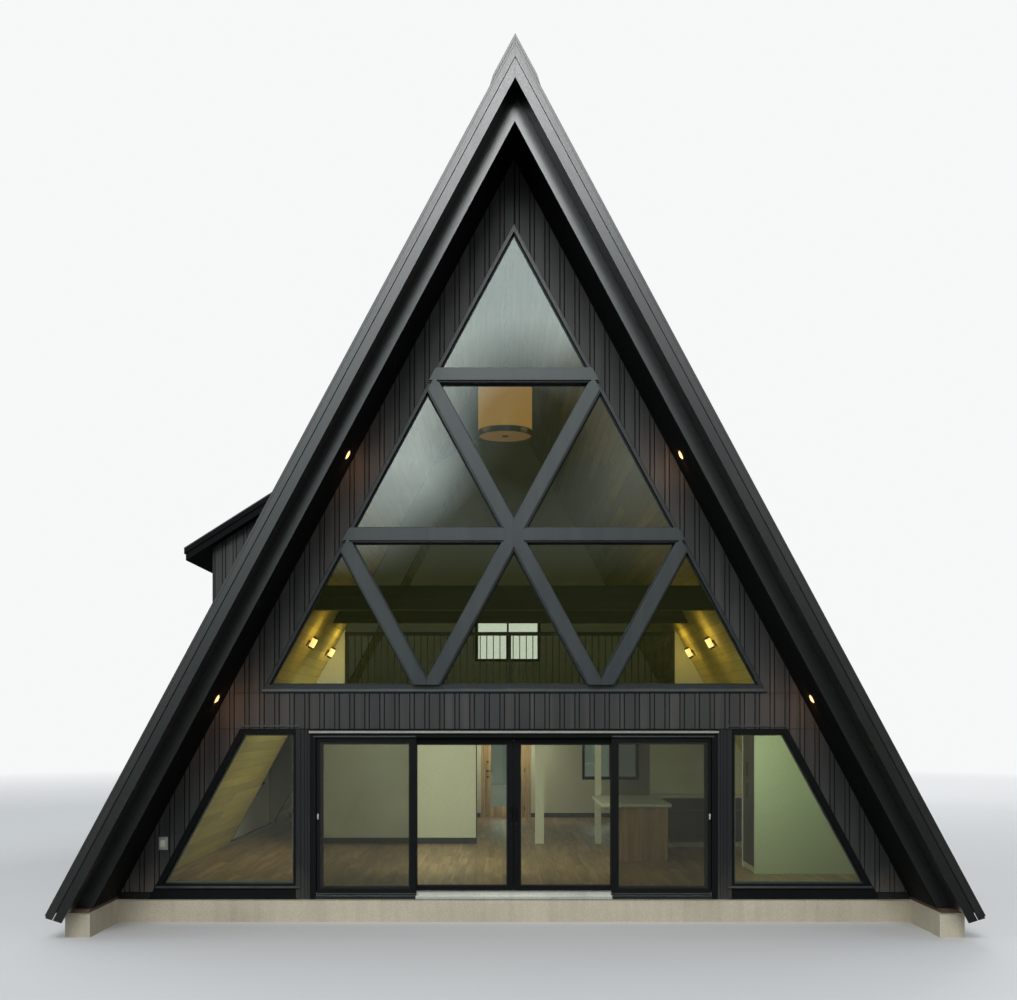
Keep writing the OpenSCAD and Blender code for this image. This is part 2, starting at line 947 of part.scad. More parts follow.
// A lever that stands out from its rose and turns along the leaf
module lever_handle(x, y, z) {
  shank = 9;
  reach = 55;
  lock_rose(x, y, z);
  translate([x, y, z])
    rotate([90, 0, 0])
      cylinder(h = reach, r = shank, $fn = 32);
  translate([x, y - reach + shank, z])
    rotate([0, 90, 0])
      cylinder(h = 120, r = shank, $fn = 32);
}

// Distance from the middle to the pale lining's face at height z, less a small gap
function inside_x(z) = slope_x(z, -lining_depth - fit);
// Height of that face at the distance x from the middle
function inside_z(x) = slope_z(x, -lining_depth - fit);
railing_half = 3000;

// The partition beside the hall, posts, the wall behind the worktop, and the stubs that
// close the corners between the railing and the lining
module inner_walls() {
  thick = 120;
  under = loft_top - loft_depth;
  posts = [[460, 620], [1550, 1660]];
  stub = railing_half + 3;
  color(plaster) {
    box([-3700, loft_edge, floor_top], [-617, loft_edge + thick, under]);
    for (post = posts)
      box([post[0], loft_edge, floor_top], [post[1], loft_edge + thick, under]);
    along(loft_edge, loft_edge + thick)
      polygon([
        [2550, floor_top], [inside_x(floor_top), floor_top], [inside_x(under), under], [2550, under]
      ]);
    both_sides()
      along(loft_edge, loft_edge + thick)
        polygon([[stub, loft_top], [inside_x(loft_top), loft_top], [stub, inside_z(stub)]]);
  }
}

module tie_beams() {
  high = tie_beam_height + tie_beam_depth;
  low_x = inside_x(tie_beam_height);
  high_x = inside_x(high);
  color(black)
    for (y = [front_face + 2318, front_face + 4906])
      along(y, y + 140)
        polygon([[-low_x, tie_beam_height], [low_x, tie_beam_height], [high_x, high], [-high_x, high]]);
}

module loft_floor() {
  under = loft_top - loft_depth;
  low = inside_x(under);
  high = inside_x(loft_top);
  gap = 3;
  color([0.6, 0.48, 0.34]) {
    along(loft_edge, back_inner)
      polygon([[-low, under], [low, under], [high, loft_top], [-high, loft_top]]);
    box([-(dormer_wall - dormer_wall_depth), dormer_front + dormer_wall_depth, under],
        [-low - gap, dormer_back - dormer_wall_depth, loft_top]);
  }
}

module loft_railing() {
  half = railing_half;
  rail = 45;
  bar = 16;
  top = loft_top + railing_height;
  count = floor((2 * half - rail) / baluster_pitch);
  y = loft_edge + 20;
  color(black) {
    box([-half, y, top - rail], [half, y + rail, top]);
    box([-half, y, loft_top + 80], [half, y + rail, loft_top + 80 + rail]);
    for (i = [0 : count])
      translate([(i - count / 2) * baluster_pitch - bar / 2, y + (rail - bar) / 2, loft_top])
        cube([bar, bar, railing_height - rail / 2]);
    for (x = [-half, -rail / 2, half - rail])
      box([x, y, loft_top], [x + rail, y + rail, top]);
  }
}

// A worktop's slab between two corners, given in X and Y
module worktop(low, high) {
  top = floor_top + worktop_height;
  slab = 50;
  box([low[0], low[1], top - slab], [high[0], high[1], top]);
}

module island() {
  box([1770, -2460, floor_top], [2500, -460, floor_top + worktop_height - 50]);
  worktop([1450, -2520], [2560, -400]);
}

// Base units along the wall behind the island, with a recessed toe board
module base_units() {
  back = loft_edge - 2;
  left = 2600;
  right = 4560;
  toe = 100;
  box([left, back - 540, floor_top], [right, back, floor_top + toe]);
  box([left, back - 600, floor_top + toe], [right, back, floor_top + worktop_height - 50]);
  worktop([left - 20, back - 620], [right + 20, back]);
}

// Outline of a piece of the tall unit, from the distance x out to the lining
module tall_outline(x, high) {
  polygon([[x, floor_top], [inside_x(floor_top), floor_top], [inside_x(high), high], [x, high]]);
}

// A tall unit under the right roof between two end panels
module tall_unit() {
  front = front_face + 2230;
  panel = 40;
  width = 960;
  for (y = [front, front + width - panel])
    along(y, y + panel)
      tall_outline(3570, 2600);
  along(front + panel + fit, front + width - panel - fit)
    tall_outline(3600, 2560);
}

module kitchen_units() {
  color([0.66, 0.52, 0.36]) {
    island();
    base_units();
    tall_unit();
  }
}

// A round light flush under the right soffit at height z
module soffit_light(z) {
  radius = 65;
  plate = 16;
  translate([slope_x(z, -fit), front_face - 500, z])
    rotate([0, roof_pitch + 180, 0])
      cylinder(h = plate, r = radius, $fn = 48);
}

// A wall lamp on the right lining: a tube that lies along the slope, on a short arm
module wall_lamp(y, z) {
  arm = 80;
  tube = 200;
  translate([slope_x(z, -lining_depth - arm), y, z]) {
    rotate([0, roof_pitch - 90, 0])
      translate([0, 0, -tube / 2])
        cylinder(h = tube, r = 42, $fn = 32);
    rotate([0, roof_pitch, 0])
      cylinder(h = arm - fit, r = 20, $fn = 32);
  }
}

// A drum lamp that hangs on a rod below the ridge: a shade with a heavy lower ring
module drum_lamp() {
  radius = 410;
  wall = 12;
  low = 6950;
  ring = 80;
  height = 750;
  hub = 60;
  x = -100;
  roof = inside_z(abs(x) + 20);
  translate([x, front_face + 3000, low]) {
    rotate_extrude($fn = 64)
      polygon([
        [radius - wall, 0], [radius + 8, 0], [radius + 8, ring], [radius, ring],
        [radius, height], [radius - wall, height]
      ]);
    for (turn = [0, 60, 120])
      rotate([0, 0, turn])
        translate([-radius + wall / 2, -8, ring / 2])
          cube([2 * radius - wall, 16, 16]);
    cylinder(h = hub, r = 50, $fn = 32);
    cylinder(h = roof - low, r = 14, $fn = 24);
  }
}

module lamps() {
  color([0.85, 0.7, 0.45]) {
    both_sides() {
      soffit_light(2890);
      soffit_light(5950);
      wall_lamp(front_face + 3600, 3820);
      wall_lamp(front_face + 5860, 3780);
    }
    drum_lamp();
  }
}

module outlet_box() {
  color([0.6, 0.6, 0.58])
    box([-4588, front_face - 45, 935], [-4473, front_face, 1105]);
}

foundation_side_walls();
foundation_end_walls();
sill_plates();
ground_floor();
roof_right();
roof_left_front();
roof_left_upper();
roof_left_back();
metal_roofing();
ridge_cap();
outer_rakes();
inner_rakes();
roof_lining();
front_gable_walls();
belt_wall();
front_lower_walls();
triangle_window_frame();
window_beams();
window_diagonals();
triangle_glass();
window_frames();
window_glass();
door_head();
door_jambs();
door_sill();
fixed_panel_frames();
left_slider_frame();
left_slider_glass();
right_slider_frame();
right_slider_glass();
left_screen();
right_screen();
dormer_long_wall();
dormer_end_walls();
dormer_roof();
back_lower_walls();
back_gable_wall();
back_door();
inner_walls();
tie_beams();
loft_floor();
loft_railing();
kitchen_units();
lamps();
outlet_box();
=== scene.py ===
"""A-frame cabin: siding, trims, finishes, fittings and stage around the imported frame."""
import math
import random

import bmesh
import bpy
from bpy.props import FloatProperty, FloatVectorProperty, PointerProperty
from bpy.types import Operator, Panel, PropertyGroup
from mathutils import Matrix, Vector


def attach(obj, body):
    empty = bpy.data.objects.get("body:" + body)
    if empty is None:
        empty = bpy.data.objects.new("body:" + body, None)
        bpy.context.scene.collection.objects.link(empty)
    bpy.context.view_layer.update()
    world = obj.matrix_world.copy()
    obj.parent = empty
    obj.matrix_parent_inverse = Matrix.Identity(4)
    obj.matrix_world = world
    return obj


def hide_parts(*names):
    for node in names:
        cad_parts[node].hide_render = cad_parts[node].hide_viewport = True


bl_info = {
    "name": "A-Frame Cabin",
    "version": (1, 0, 0),
    "blender": (4, 5, 0),
    "location": "View3D > Sidebar > Cabin",
    "description": "Dresses the cabin's frame with boards, trims, fittings and finishes",
    "category": "Object",
}

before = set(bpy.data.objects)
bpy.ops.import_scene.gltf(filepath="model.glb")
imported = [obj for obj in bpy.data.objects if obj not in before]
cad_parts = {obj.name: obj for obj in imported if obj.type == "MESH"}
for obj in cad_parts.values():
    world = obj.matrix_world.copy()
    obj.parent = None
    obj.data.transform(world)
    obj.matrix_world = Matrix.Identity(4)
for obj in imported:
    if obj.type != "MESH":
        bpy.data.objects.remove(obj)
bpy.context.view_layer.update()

# Smallest distance and area that count, narrowest board that is laid, and a height beyond every wall
TOUCHING = 1e-5
SLIVER = 0.012
BEYOND = 30

# Main planes of the cabin, in metres
FRONT = -6.25
BACK = 6.25
WALL = 0.2
FLOOR = 0.34
SIDING_FOOT = FLOOR + 0.05
FOUNDATION = 0.3
HEAD = 2.5
BELT_TOP = 2.965
PITCH = math.radians(61.8)
SOFFIT_FOOT = 5.296
ROOF_TOP = 0.397
PAN_TOP = 0.371
RAKE_FRONT = FRONT - 1.4
OVERHANG_Y = (BACK + 0.024, BACK + 0.998)

# The rooms inside: thickness of the roof's lining, the plane that the wall panels end at, and heights
LINING = 0.018
PANELS_END = -LINING - 0.004
ROOM_FOOT = 0.343
ROOM_TOP = 2.847
LOFT_FOOT = 3.103
LOFT_EDGE = 0.25
TRIM_FOOT = 0.341

# The triangular window of the gable
GLASS_SILL = 3.07
GLASS_APEX = 8.93
GLASS_HALF = 3.16
GLASS_SLOPE = (GLASS_APEX - GLASS_SILL) / GLASS_HALF
GLASS_ANGLE = math.atan(GLASS_SLOPE)
EDGE_FRAME = 0.045
LATTICE_LOW = 2.94
ROW = 2.065
HALF_TRIANGLE = 1.125
HALF_BAR = 0.095
FRAME_FRONT = FRONT - 0.02
GLASS_FRONT = FRONT + 0.06
PANE = 0.024

# The slanted side windows: inner edge, foot and head of the glass, and its outer corners
SIDE_INNER = 2.85
SIDE_FOOT = 0.494
SIDE_HEAD = 2.44
SIDE_HEAD_X = 3.49
SIDE_FOOT_X = 4.54
SIDE_SLOPE = (SIDE_HEAD - SIDE_FOOT) / (SIDE_FOOT_X - SIDE_HEAD_X)
SIDE_ANGLE = math.atan(SIDE_SLOPE)
SIDE_FRAME = 0.07

# The patio door, and the boards of the posts beside it
DOOR_HALF = 2.63
FIXED_GLASS = (1.345, 0.445, 2.485, 2.315)
SLIDER_GLASS = (0.08, 0.455, 1.27, 2.305)
POST_BOARDS = ((2.634, 2.668), (2.671, 2.7), (2.703, 2.752), (2.755, 2.816))

# The dormer
DORMER_PITCH = math.radians(32.4)
DORMER_EAVE = 5.85
DORMER_EAVE_Z = 5.68
DORMER_DROP = 0.2 / math.cos(DORMER_PITCH)
DORMER_WALL = 5.38
DORMER_NEAR = 0.25
DORMER_FAR = 4.85
DORMER_REACH = 0.3

# Windows as their low and high corners, and the back door as its sides and its head
DORMER_WINDOWS = [(y, z, y + 1.2, z + 1.1) for y in (0.95, 2.95) for z in (1.2, 4.05)]
BACK_WINDOWS = [(-3.0, 1.2, -1.7, 2.3), (1.7, 1.2, 3.0, 2.3), (-0.75, 3.9, 0.75, 5.3)]
BACK_DOOR = (-0.53, 0.39, 2.4)
CASING = 0.085

# Lamps: heights of the soffit lights, depth and height of the wall lamps, middle of the drum lamp
SOFFIT_LIGHTS = (2.89, 5.95)
SOFFIT_LIGHT_Y = FRONT - 0.5
WALL_LAMPS = ((FRONT + 3.6, 3.82), (FRONT + 5.86, 3.78))
DRUM_LAMP = (-0.1, FRONT + 3.0)

# The stage
STUDIO_RADIUS = 160
BACKDROP = (0.93, 0.935, 0.94, 1)
EYE = (-0.18, -22.25, 2.68)
LENS_SHIFT = (0.0084, 0.2114)
SENSOR = 36.0

# Roof screws: spacing of the ribs and their number, a screw's turned form
RIB_PITCH = 0.306
RIBS = 49
FIRST_RIB = -RIB_PITCH * (RIBS - 1) / 2
SCREW = [(0.011, 0.0), (0.011, 0.0025), (0.0065, 0.003), (0.0065, 0.008), (0.005, 0.0085)]


def soffit_x(z, t=0.0):
    """Half-width at height z of the plane that lies t above the soffit."""
    return SOFFIT_FOOT + t / math.sin(PITCH) - z / math.tan(PITCH)


def soffit_z(x, t=0.0):
    """Height at the distance x from the middle of the plane that lies t above the soffit."""
    return (SOFFIT_FOOT + t / math.sin(PITCH) - x) * math.tan(PITCH)


def by_height(z, t):
    """The point at height z of that plane."""
    return soffit_x(z, t), z


def by_width(x, t):
    """The point at the distance x from the middle of that plane."""
    return x, soffit_z(x, t)


def glass_x(z, w=0.0):
    """Half-width at height z of the line that lies w outside the gable glass."""
    return (GLASS_APEX - z) / GLASS_SLOPE + w / math.sin(GLASS_ANGLE)


def glass_z(x, w=0.0):
    """Height of that line at the distance x from the middle."""
    return GLASS_APEX + (w / math.sin(GLASS_ANGLE) - x) * GLASS_SLOPE


def side_x(z, w=0.0):
    """Slanted edge of a side window at height z, w outside its glass."""
    return SIDE_HEAD_X + (SIDE_HEAD - z) / SIDE_SLOPE + w / math.sin(SIDE_ANGLE)


def dormer_top(x):
    """Height of the dormer roof's top at the distance x left of the middle."""
    return DORMER_EAVE_Z + (DORMER_EAVE - x) * math.tan(DORMER_PITCH)


def dormer_meet(h, t):
    """Distance from the middle at which the line h below the dormer's top meets the plane t."""
    rise = soffit_z(0, t) - DORMER_EAVE_Z - DORMER_EAVE * math.tan(DORMER_PITCH) + h
    return rise / (math.tan(PITCH) - math.tan(DORMER_PITCH))


# Places to draw on: u runs across, v up and n out of the surface

def place(origin, across, up):
    """A matrix whose columns are across, up and the normal they make, at origin."""
    u, v = Vector(across).normalized(), Vector(up).normalized()
    return Matrix.Translation(Vector(origin)) @ Matrix((u, v, u.cross(v))).transposed().to_4x4()


def front_at(x, y, z):
    """A plane that faces the front, with its middle at a point."""
    return place((x, y, z), (1, 0, 0), (0, 0, 1))


def facing_front(y):
    """A plane at depth y that faces the front."""
    return front_at(0, y, 0)


def facing_back(y):
    """A plane at depth y that faces the back; u runs to the left as seen from the front."""
    return place((0, y, 0), (-1, 0, 0), (0, 0, 1))


def facing_left(x):
    """A plane at distance x that faces left; u runs to the front."""
    return place((x, 0, 0), (0, -1, 0), (0, 0, 1))


def facing_right(x):
    """A plane at distance x that faces right; u runs to the back."""
    return place((x, 0, 0), (0, 1, 0), (0, 0, 1))


def on_slope(side, t, outward=True):
    """The roof plane t above the soffit on one side, with v running up to the ridge at 0."""
    up = (-side * math.cos(PITCH), 0, math.sin(PITCH))
    across = side if outward else -side
    return place((0, 0, soffit_z(0, t)), (0, across, 0), up)


def slope_v(z, t=0.0):
    """The v of height z on that plane."""
    return -(soffit_z(0, t) - z) / math.sin(PITCH)


def moved(where, u, v, n=0.0):
    """The same plane with its middle moved."""
    return where @ Matrix.Translation((u, v, n))


def slope_place(side, t, y, z):
    """A point on the roof plane t at depth y and height z, whose normal looks into the house."""
    return moved(on_slope(side, t, outward=False), -side * y, slope_v(z, t))


# Convex outlines that turn anticlockwise

def mirrored(outline):
    """The outline on the other side of the middle, still turning the same way."""
    return [(-u, v) for u, v in reversed(outline)]


def both(outline):
    """An outline and its mirror image."""
    return outline, mirrored(outline)


def on_side(side, outline):
    """An outline drawn for the right side, on the side asked for."""
    return outline if side > 0 else mirrored(outline)


def rectangle(u0, v0, u1, v1):
    """A rectangle's outline between two corners."""
    return [(u0, v0), (u1, v0), (u1, v1), (u0, v1)]


def tidy(outline):
    """Drops points that repeat the one before."""
    kept = []
    for p in outline:
        if not kept or math.dist(p, kept[-1]) > TOUCHING:
            kept.append(p)
    if len(kept) > 1 and math.dist(kept[0], kept[-1]) < TOUCHING:
        kept.pop()
    return kept


def edges_of(outline):
    """Pairs of neighbouring points, all the way round."""
    return zip(outline, outline[1:] + outline[:1])


def clip(outline, point, inward):
    """The part of a convex outline on the side of point that inward points to."""
    def depth(p):
        return (p[0] - point[0]) * inward[0] + (p[1] - point[1]) * inward[1]

    kept = []
    for a, b in edges_of(outline):
        da, db = depth(a), depth(b)
        if da >= 0:
            kept.append(a)
        if (da > 0) != (db > 0) and abs(da - db) > 1e-12:
            s = da / (da - db)
            kept.append((a[0] + (b[0] - a[0]) * s, a[1] + (b[1] - a[1]) * s))
    return tidy(kept)


def above(outline, v):
    """The part of an outline above a height."""
    return clip(outline, (0, v), (0, 1))


def below(outline, v):
    """The part of an outline below a height."""
    return clip(outline, (0, v), (0, -1))


def area(outline):
    """Area of an outline, above 0 when it turns anticlockwise."""
    return sum(a[0] * b[1] - b[0] * a[1] for a, b in edges_of(outline)) / 2


def worth_keeping(outline):
    """Whether an outline still encloses something."""
    return len(outline) > 2 and area(outline) > TOUCHING


def clip_to(outline, region):
    """The part of a convex outline inside a convex region."""
    for a, b in edges_of(region):
        if len(outline) < 3:
            return []
        outline = clip(outline, a, (a[1] - b[1], b[0] - a[0]))
    return outline if worth_keeping(outline) else []


def minus(outline, hole):
    """The convex parts that are left of a convex outline around a rectangular hole."""
    u0, v0, u1, v1 = hole
    parts, rest = [], outline
    for point, inward in (((u0, 0), (-1, 0)), ((u1, 0), (1, 0)), ((0, v0), (0, -1)), ((0, v1), (0, 1))):
        part = clip(rest, point, inward)
        if worth_keeping(part):
            parts.append(part)
        rest = clip(rest, point, (-inward[0], -inward[1]))
        if len(rest) < 3:
            break
    return parts


def inset(outline, d):
    """A convex outline drawn in by d on every edge, or nothing if it is too small."""
    lines = []
    for a, b in edges_of(outline):
        e = Vector((b[0] - a[0], b[1] - a[1])).normalized()
        lines.append((Vector(a) + Vector((-e.y, e.x)) * d, e))
    points = []
    for (p, e), (q, f) in zip(lines[-1:] + lines[:-1], lines):
        cross = e.x * f.y - e.y * f.x
        if abs(cross) < 1e-6:
            points.append(tuple(q))
            continue
        s = ((q.x - p.x) * f.y - (q.y - p.y) * f.x) / cross
        points.append(tuple(p + e * s))
    for (a, b), (c, e) in zip(edges_of(outline), edges_of(points)):
        if (b[0] - a[0]) * (e[0] - c[0]) + (b[1] - a[1]) * (e[1] - c[1]) <= 0:
            return []
    return points


def under_slopes(foot, t):
    """The triangle across the house above a height and under the plane t."""
    reach = soffit_x(foot, t)
    return [(-reach, foot), (reach, foot), by_width(0, t)]


def front_wall(t, foot, sill, middle, belt_gaps, head_gap):
    """Strips of the front wall under the plane t: beside the gable glass, belt, beside a side window."""
    w, s = EDGE_FRAME + 0.003, SIDE_FRAME + 0.003
    low, high = soffit_x(HEAD, t), soffit_x(BELT_TOP, t)
    bottom, top, head = HEAD + belt_gaps[0], BELT_TOP - belt_gaps[1], HEAD - head_gap
    band = [(glass_x(sill, w), sill), by_height(sill, t), by_width(middle, t), (middle, glass_z(middle, w))]
    belt = [(-low, bottom), (low, bottom), (high, top), (-high, top)]
    beside_window = [(side_x(foot, s), foot), by_height(foot, t), (low, head), (side_x(HEAD, s), head)]
    return band, belt, beside_window


def seen_from_outside(windows, margin=0.0):
    """Corners of windows on a plane whose u runs the other way, a margin wider than they are."""
    return [(-u1 - margin, v0 - margin, -u0 + margin, v1 + margin) for u0, v0, u1, v1 in windows]


class Shape:
    """The mesh of one piece while it is being drawn."""

    def __init__(self, seed):
        self.bm = bmesh.new()
        self.tone = self.bm.faces.layers.float.new("tone")
        self.random = random.Random(seed)
        self.finish = 0

    def mark(self, faces, tone):
        """Gives faces their tone and the finish in use."""
        for f in faces:
            f[self.tone] = tone
            f.material_index = self.finish

    def skin(self, loops, tone, ends=()):
        """Faces between neighbouring loops of corners, and over the ends."""
        quads = [(a, b, d, c) for low, high in zip(loops, loops[1:])
                 for (a, b), (c, d) in zip(edges_of(low), edges_of(high))]
        self.mark([self.bm.faces.new(corners) for corners in (*quads, *ends)], tone)

    def loft(self, rings, tone=0.5):
        """Faces between closed rings of points, with the first and the last closed."""
        loops = [[self.bm.verts.new(p) for p in ring] for ring in rings]
        self.skin(loops, tone, (loops[0][::-1], loops[-1]))

    def fold(self, profile, where, u0, u1):
        """Bent sheet or a moulding: a profile of (n, v) pairs drawn from u0 to u1."""
        self.loft([[where @ Vector((u, v, n)) for n, v in profile] for u in (u0, u1)])

    def plate(self, outline, where, thick, chamfer=0.0, low=0.0):
        """A flat piece with a convex outline, its front edges chamfered, low above its plane."""
        drawn, top = inset(outline, chamfer) if chamfer else [], low + thick
        heights = [(outline, top - chamfer), (drawn, top)] if drawn else [(outline, top)]
        rings = [[where @ Vector((u, v, n)) for u, v in ring] for ring, n in [(outline, low)] + heights]
        self.loft(rings, self.random.random())

    def ring(self, outline, width, where, thick, low, chamfer):
        """A frame of constant width just inside a convex outline."""
        inner, top, side = inset(outline, width), low + thick, low + thick - chamfer
        rows = [(inner, low), (outline, low), (outline, side), (inset(outline, chamfer), top),
                (inset(outline, width - chamfer), top), (inner, side)]
        loops = [[self.bm.verts.new(where @ Vector((u, v, n))) for u, v in row] for row, n in rows]
        self.skin(loops + loops[:1], self.random.random())

    def bead_round(self, outline, near, far, width=0.02, thick=(0.014, 0.012), chamfer=0.004):
        """Glazing beads round a pane, on a plane that looks out and on one that looks in."""
        self.ring(outline, width, near, thick[0], 0.0005, chamfer)
        self.ring(mirrored(outline), width, far, thick[1], 0.0005, chamfer)

    def bar(self, path, radius, segments=12):
        """A round bar along a path of world points."""
        rings = []
        for i, p in enumerate(path):
            before = Vector(path[max(i - 1, 0)])
            after = Vector(path[min(i + 1, len(path) - 1)])
            along = (after - before).normalized()
            side = along.cross(Vector((0.3, 0.5, 0.81))).normalized()
            other = along.cross(side)
            rings.append([Vector(p) + (side * x + other * y) * radius for x, y in circle(segments)])
        self.loft(rings)

    def lathe(self, profile, where, segments):
        """A turned form: profile gives (radius, n) pairs round the normal of where."""
        self.loft([[where @ Vector((r * x, r * y, n)) for x, y in circle(segments)] for r, n in profile])

    def block(self, low, high, chamfer=0.003):
        """A box between two corners with all its edges chamfered."""
        low, high = Vector(low), Vector(high)
        tone = self.random.random()
        made = bmesh.ops.create_cube(self.bm, size=1.0)["verts"]
        for v in made:
            v.co = Vector(((v.co[i] + 0.5) * (high[i] - low[i]) + low[i] for i in range(3)))
        faces = [f for v in made for f in v.link_faces]
        if chamfer:
            edges = list(dict.fromkeys(e for f in faces for e in f.edges))
            cut = bmesh.ops.bevel(self.bm, geom=edges, offset=chamfer, segments=2, profile=0.6,
                                  affect="EDGES")
            faces = [f for v in cut["verts"] for f in v.link_faces]
        self.mark(faces, tone)

    def side_block(self, side, low, high, chamfer=0.003):
        """A box on one side of the middle, its corners given for the right side."""
        a, b = sorted((side * low[0], side * high[0]))
        self.block((a, *low[1:]), (b, *high[1:]), chamfer)

    def piece(self, name, finishes, slot, body="cabin", smooth=False):
        """Turns the mesh into a piece that rides on a body and takes the finishes listed; the slot is not
        used.
        """
        bmesh.ops.recalc_face_normals(self.bm, faces=self.bm.faces)
        mesh = bpy.data.meshes.new(name)
        self.bm.to_mesh(mesh)
        self.bm.free()
        for f in finishes:
            mesh.materials.append(bpy.data.materials[f])
        made = bpy.data.objects.new(name, mesh)
        bpy.context.scene.collection.objects.link(made)
        if smooth:
            mesh.shade_smooth()
            made.modifiers.new("crisp", "EDGE_SPLIT").split_angle = math.radians(35)
        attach(made, body)
        return made


def circle(segments):
    """Points on a circle of radius 1."""
    turns = [2 * math.pi * k / segments for k in range(segments)]
    return [(math.cos(a), math.sin(a)) for a in turns]


def lay_boards(shape, region, where, width, gap, thick, chamfer, start, holes=()):
    """Fills a convex region with upright boards of one width, a gap apart, round the holes."""
    lowest, highest, step = min(u for u, _ in region), max(u for u, _ in region), width + gap
    first = math.floor((lowest - start) / step)
    for i in range(first, first + int((highest - lowest) / step) + 3):
        u = start + i * step
        parts = [clip_to(rectangle(u, -BEYOND, u + width, BEYOND), region)]
        for hole in holes:
            parts = [q for p in parts if p for q in minus(p, hole)]
        for part in parts:
            if part and min(max(side) - min(side) for side in zip(*part)) > SLIVER:
                shape.plate(part, where, thick, chamfer)


def lay_battened_siding(shape, region, where, holes=()):
    """Board and batten siding: wide boards with a raised batten between each two."""
    sizes = bpy.context.scene.cabin_sizes
    pitch, batten, groove = sizes.board_pitch, sizes.batten_width, sizes.batten_groove
    board = pitch - batten - 2 * groove
    first = sizes.batten_start
    lay_boards(shape, region, where, board, pitch - board, 0.012, 0.002, first + batten / 2 + groove, holes)
    lay_boards(shape, region, where, batten, pitch - batten, 0.018, 0.003, first - batten / 2, holes)


# Finishes

class Graph:
    """Adds and joins the nodes of one node tree."""

    def __init__(self, tree):
        self.tree = tree

    def node(self, kind, inputs=None, **settings):
        made = self.tree.nodes.new("ShaderNode" + kind)
        for key, value in settings.items():
            setattr(made, key, value)
        for key, value in (inputs or {}).items():
            self.feed(made.inputs[key], value)
        return made

    def feed(self, socket, value):
        if isinstance(value, bpy.types.NodeSocket):
            self.tree.links.new(value, socket)
        else:
            socket.default_value = value

    def here(self, label="Object"):
        return self.node("TexCoord").outputs[label]

    def split(self, vector):
        return self.node("SeparateXYZ", {0: vector}).outputs

    def join(self, *parts):
        return self.node("CombineXYZ", dict(enumerate(parts))).outputs[0]

    def math(self, operation, a, b=0.0):
        return self.node("Math", {0: a, 1: b}, operation=operation).outputs[0]

    def add(self, a, b):
        return self.math("ADD", a, b)

    def times(self, a, b):
        return self.math("MULTIPLY", a, b)

    def centred(self, value, spread):
        return self.times(self.math("SUBTRACT", value, 0.5), spread)

    def mix(self, factor, a, b):
        return self.node("Mix", {0: factor, 6: a, 7: b}, data_type="RGBA").outputs[2]

    def scaled(self, vector, scale):
        return self.node("VectorMath", {0: vector, 1: scale}, operation="MULTIPLY").outputs[0]

    def brighter(self, color, factor):
        return self.node("VectorMath", {0: color, "Scale": factor}, operation="SCALE").outputs[0]

    def noise(self, vector, scale, detail=3.0, distortion=0.0):
        given = {"Vector": vector, "Scale": scale, "Detail": detail, "Distortion": distortion}
        return self.node("TexNoise", given).outputs["Fac"]

    def ramp(self, value, low, high, to_low=0.0, to_high=1.0):
        given = {"Value": value, "From Min": low, "From Max": high, "To Min": to_low, "To Max": to_high}
        return self.node("MapRange", given).outputs["Result"]

    def blend(self, factor, a, b):
        return self.node("MixShader", {0: factor, 1: a.outputs[0], 2: b.outputs[0]})

    def show(self, shader, output="Material Output"):
        self.tree.links.new(shader.outputs[0], self.tree.nodes[output].inputs["Surface"])


def make_group(name, inputs, outputs, build):
    """A shader node group: inputs give label and default, outputs give labels of one kind each."""
    kinds = {float: "NodeSocketFloat", tuple: "NodeSocketColor", str: "NodeSocketVector"}
    tree = bpy.data.node_groups.new(name, "ShaderNodeTree")
    for label, default in inputs.items():
        made = tree.interface.new_socket(label, in_out="INPUT", socket_type=kinds[type(default)])
        if not isinstance(default, str):
            made.default_value = default
    for label, kind in outputs.items():
        tree.interface.new_socket(label, in_out="OUTPUT", socket_type=kinds[kind])
    given = tree.nodes.new("NodeGroupInput").outputs
    result = tree.nodes.new("NodeGroupOutput").inputs
    for label, socket in build(Graph(tree), given).items():
        tree.links.new(socket, result[label])


def weathered(g, given):
    """Rain streaks, blotches and fine grain over a painted or bare surface."""
    at = g.here()
    streak = g.ramp(g.noise(g.scaled(at, (7.0, 7.0, 0.3)), 1.0, 4.0), 0.46, 0.74)
    blotch = g.ramp(g.noise(at, 0.9, 4.0), 0.42, 0.72)
    fine = g.noise(at, 55.0, 3.0)
    wash = g.add(g.times(streak, given["Streaks"]), g.times(blotch, given["Blotches"]))
    color = g.mix(wash, given["Color"], given["Wash"])
    shift = g.centred(given["Tone"], given["Tone Spread"])
    bright = g.add(g.add(shift, g.centred(fine, 0.5)), 1.0)
    rough = g.add(given["Roughness"], g.ramp(fine, 0.3, 0.7, -0.07, 0.07))
    rough = g.add(rough, g.times(wash, 0.12))
    return {"Color": g.brighter(color, bright), "Roughness": rough, "Height": fine}


def wood_grain(g, given):
    """Long grain along x of the vector, with pores and a tone for each board."""
    wide = g.noise(g.scaled(given["Vector"], (0.8, 11.0, 11.0)), 1.0, 6.0, 0.7)
    pores = g.noise(g.scaled(given["Vector"], (5.0, 160.0, 160.0)), 1.0, 2.0)
    mask = g.ramp(wide, 0.35, 0.68)
    color = g.mix(mask, given["Light"], given["Dark"])
    shift = g.centred(given["Tone"], 0.45)
    bright = g.add(g.add(shift, g.ramp(pores, 0.3, 0.7, -0.12, 0.12)), 1.0)
    return {"Color": g.brighter(color, bright), "Height": g.add(mask, pores)}


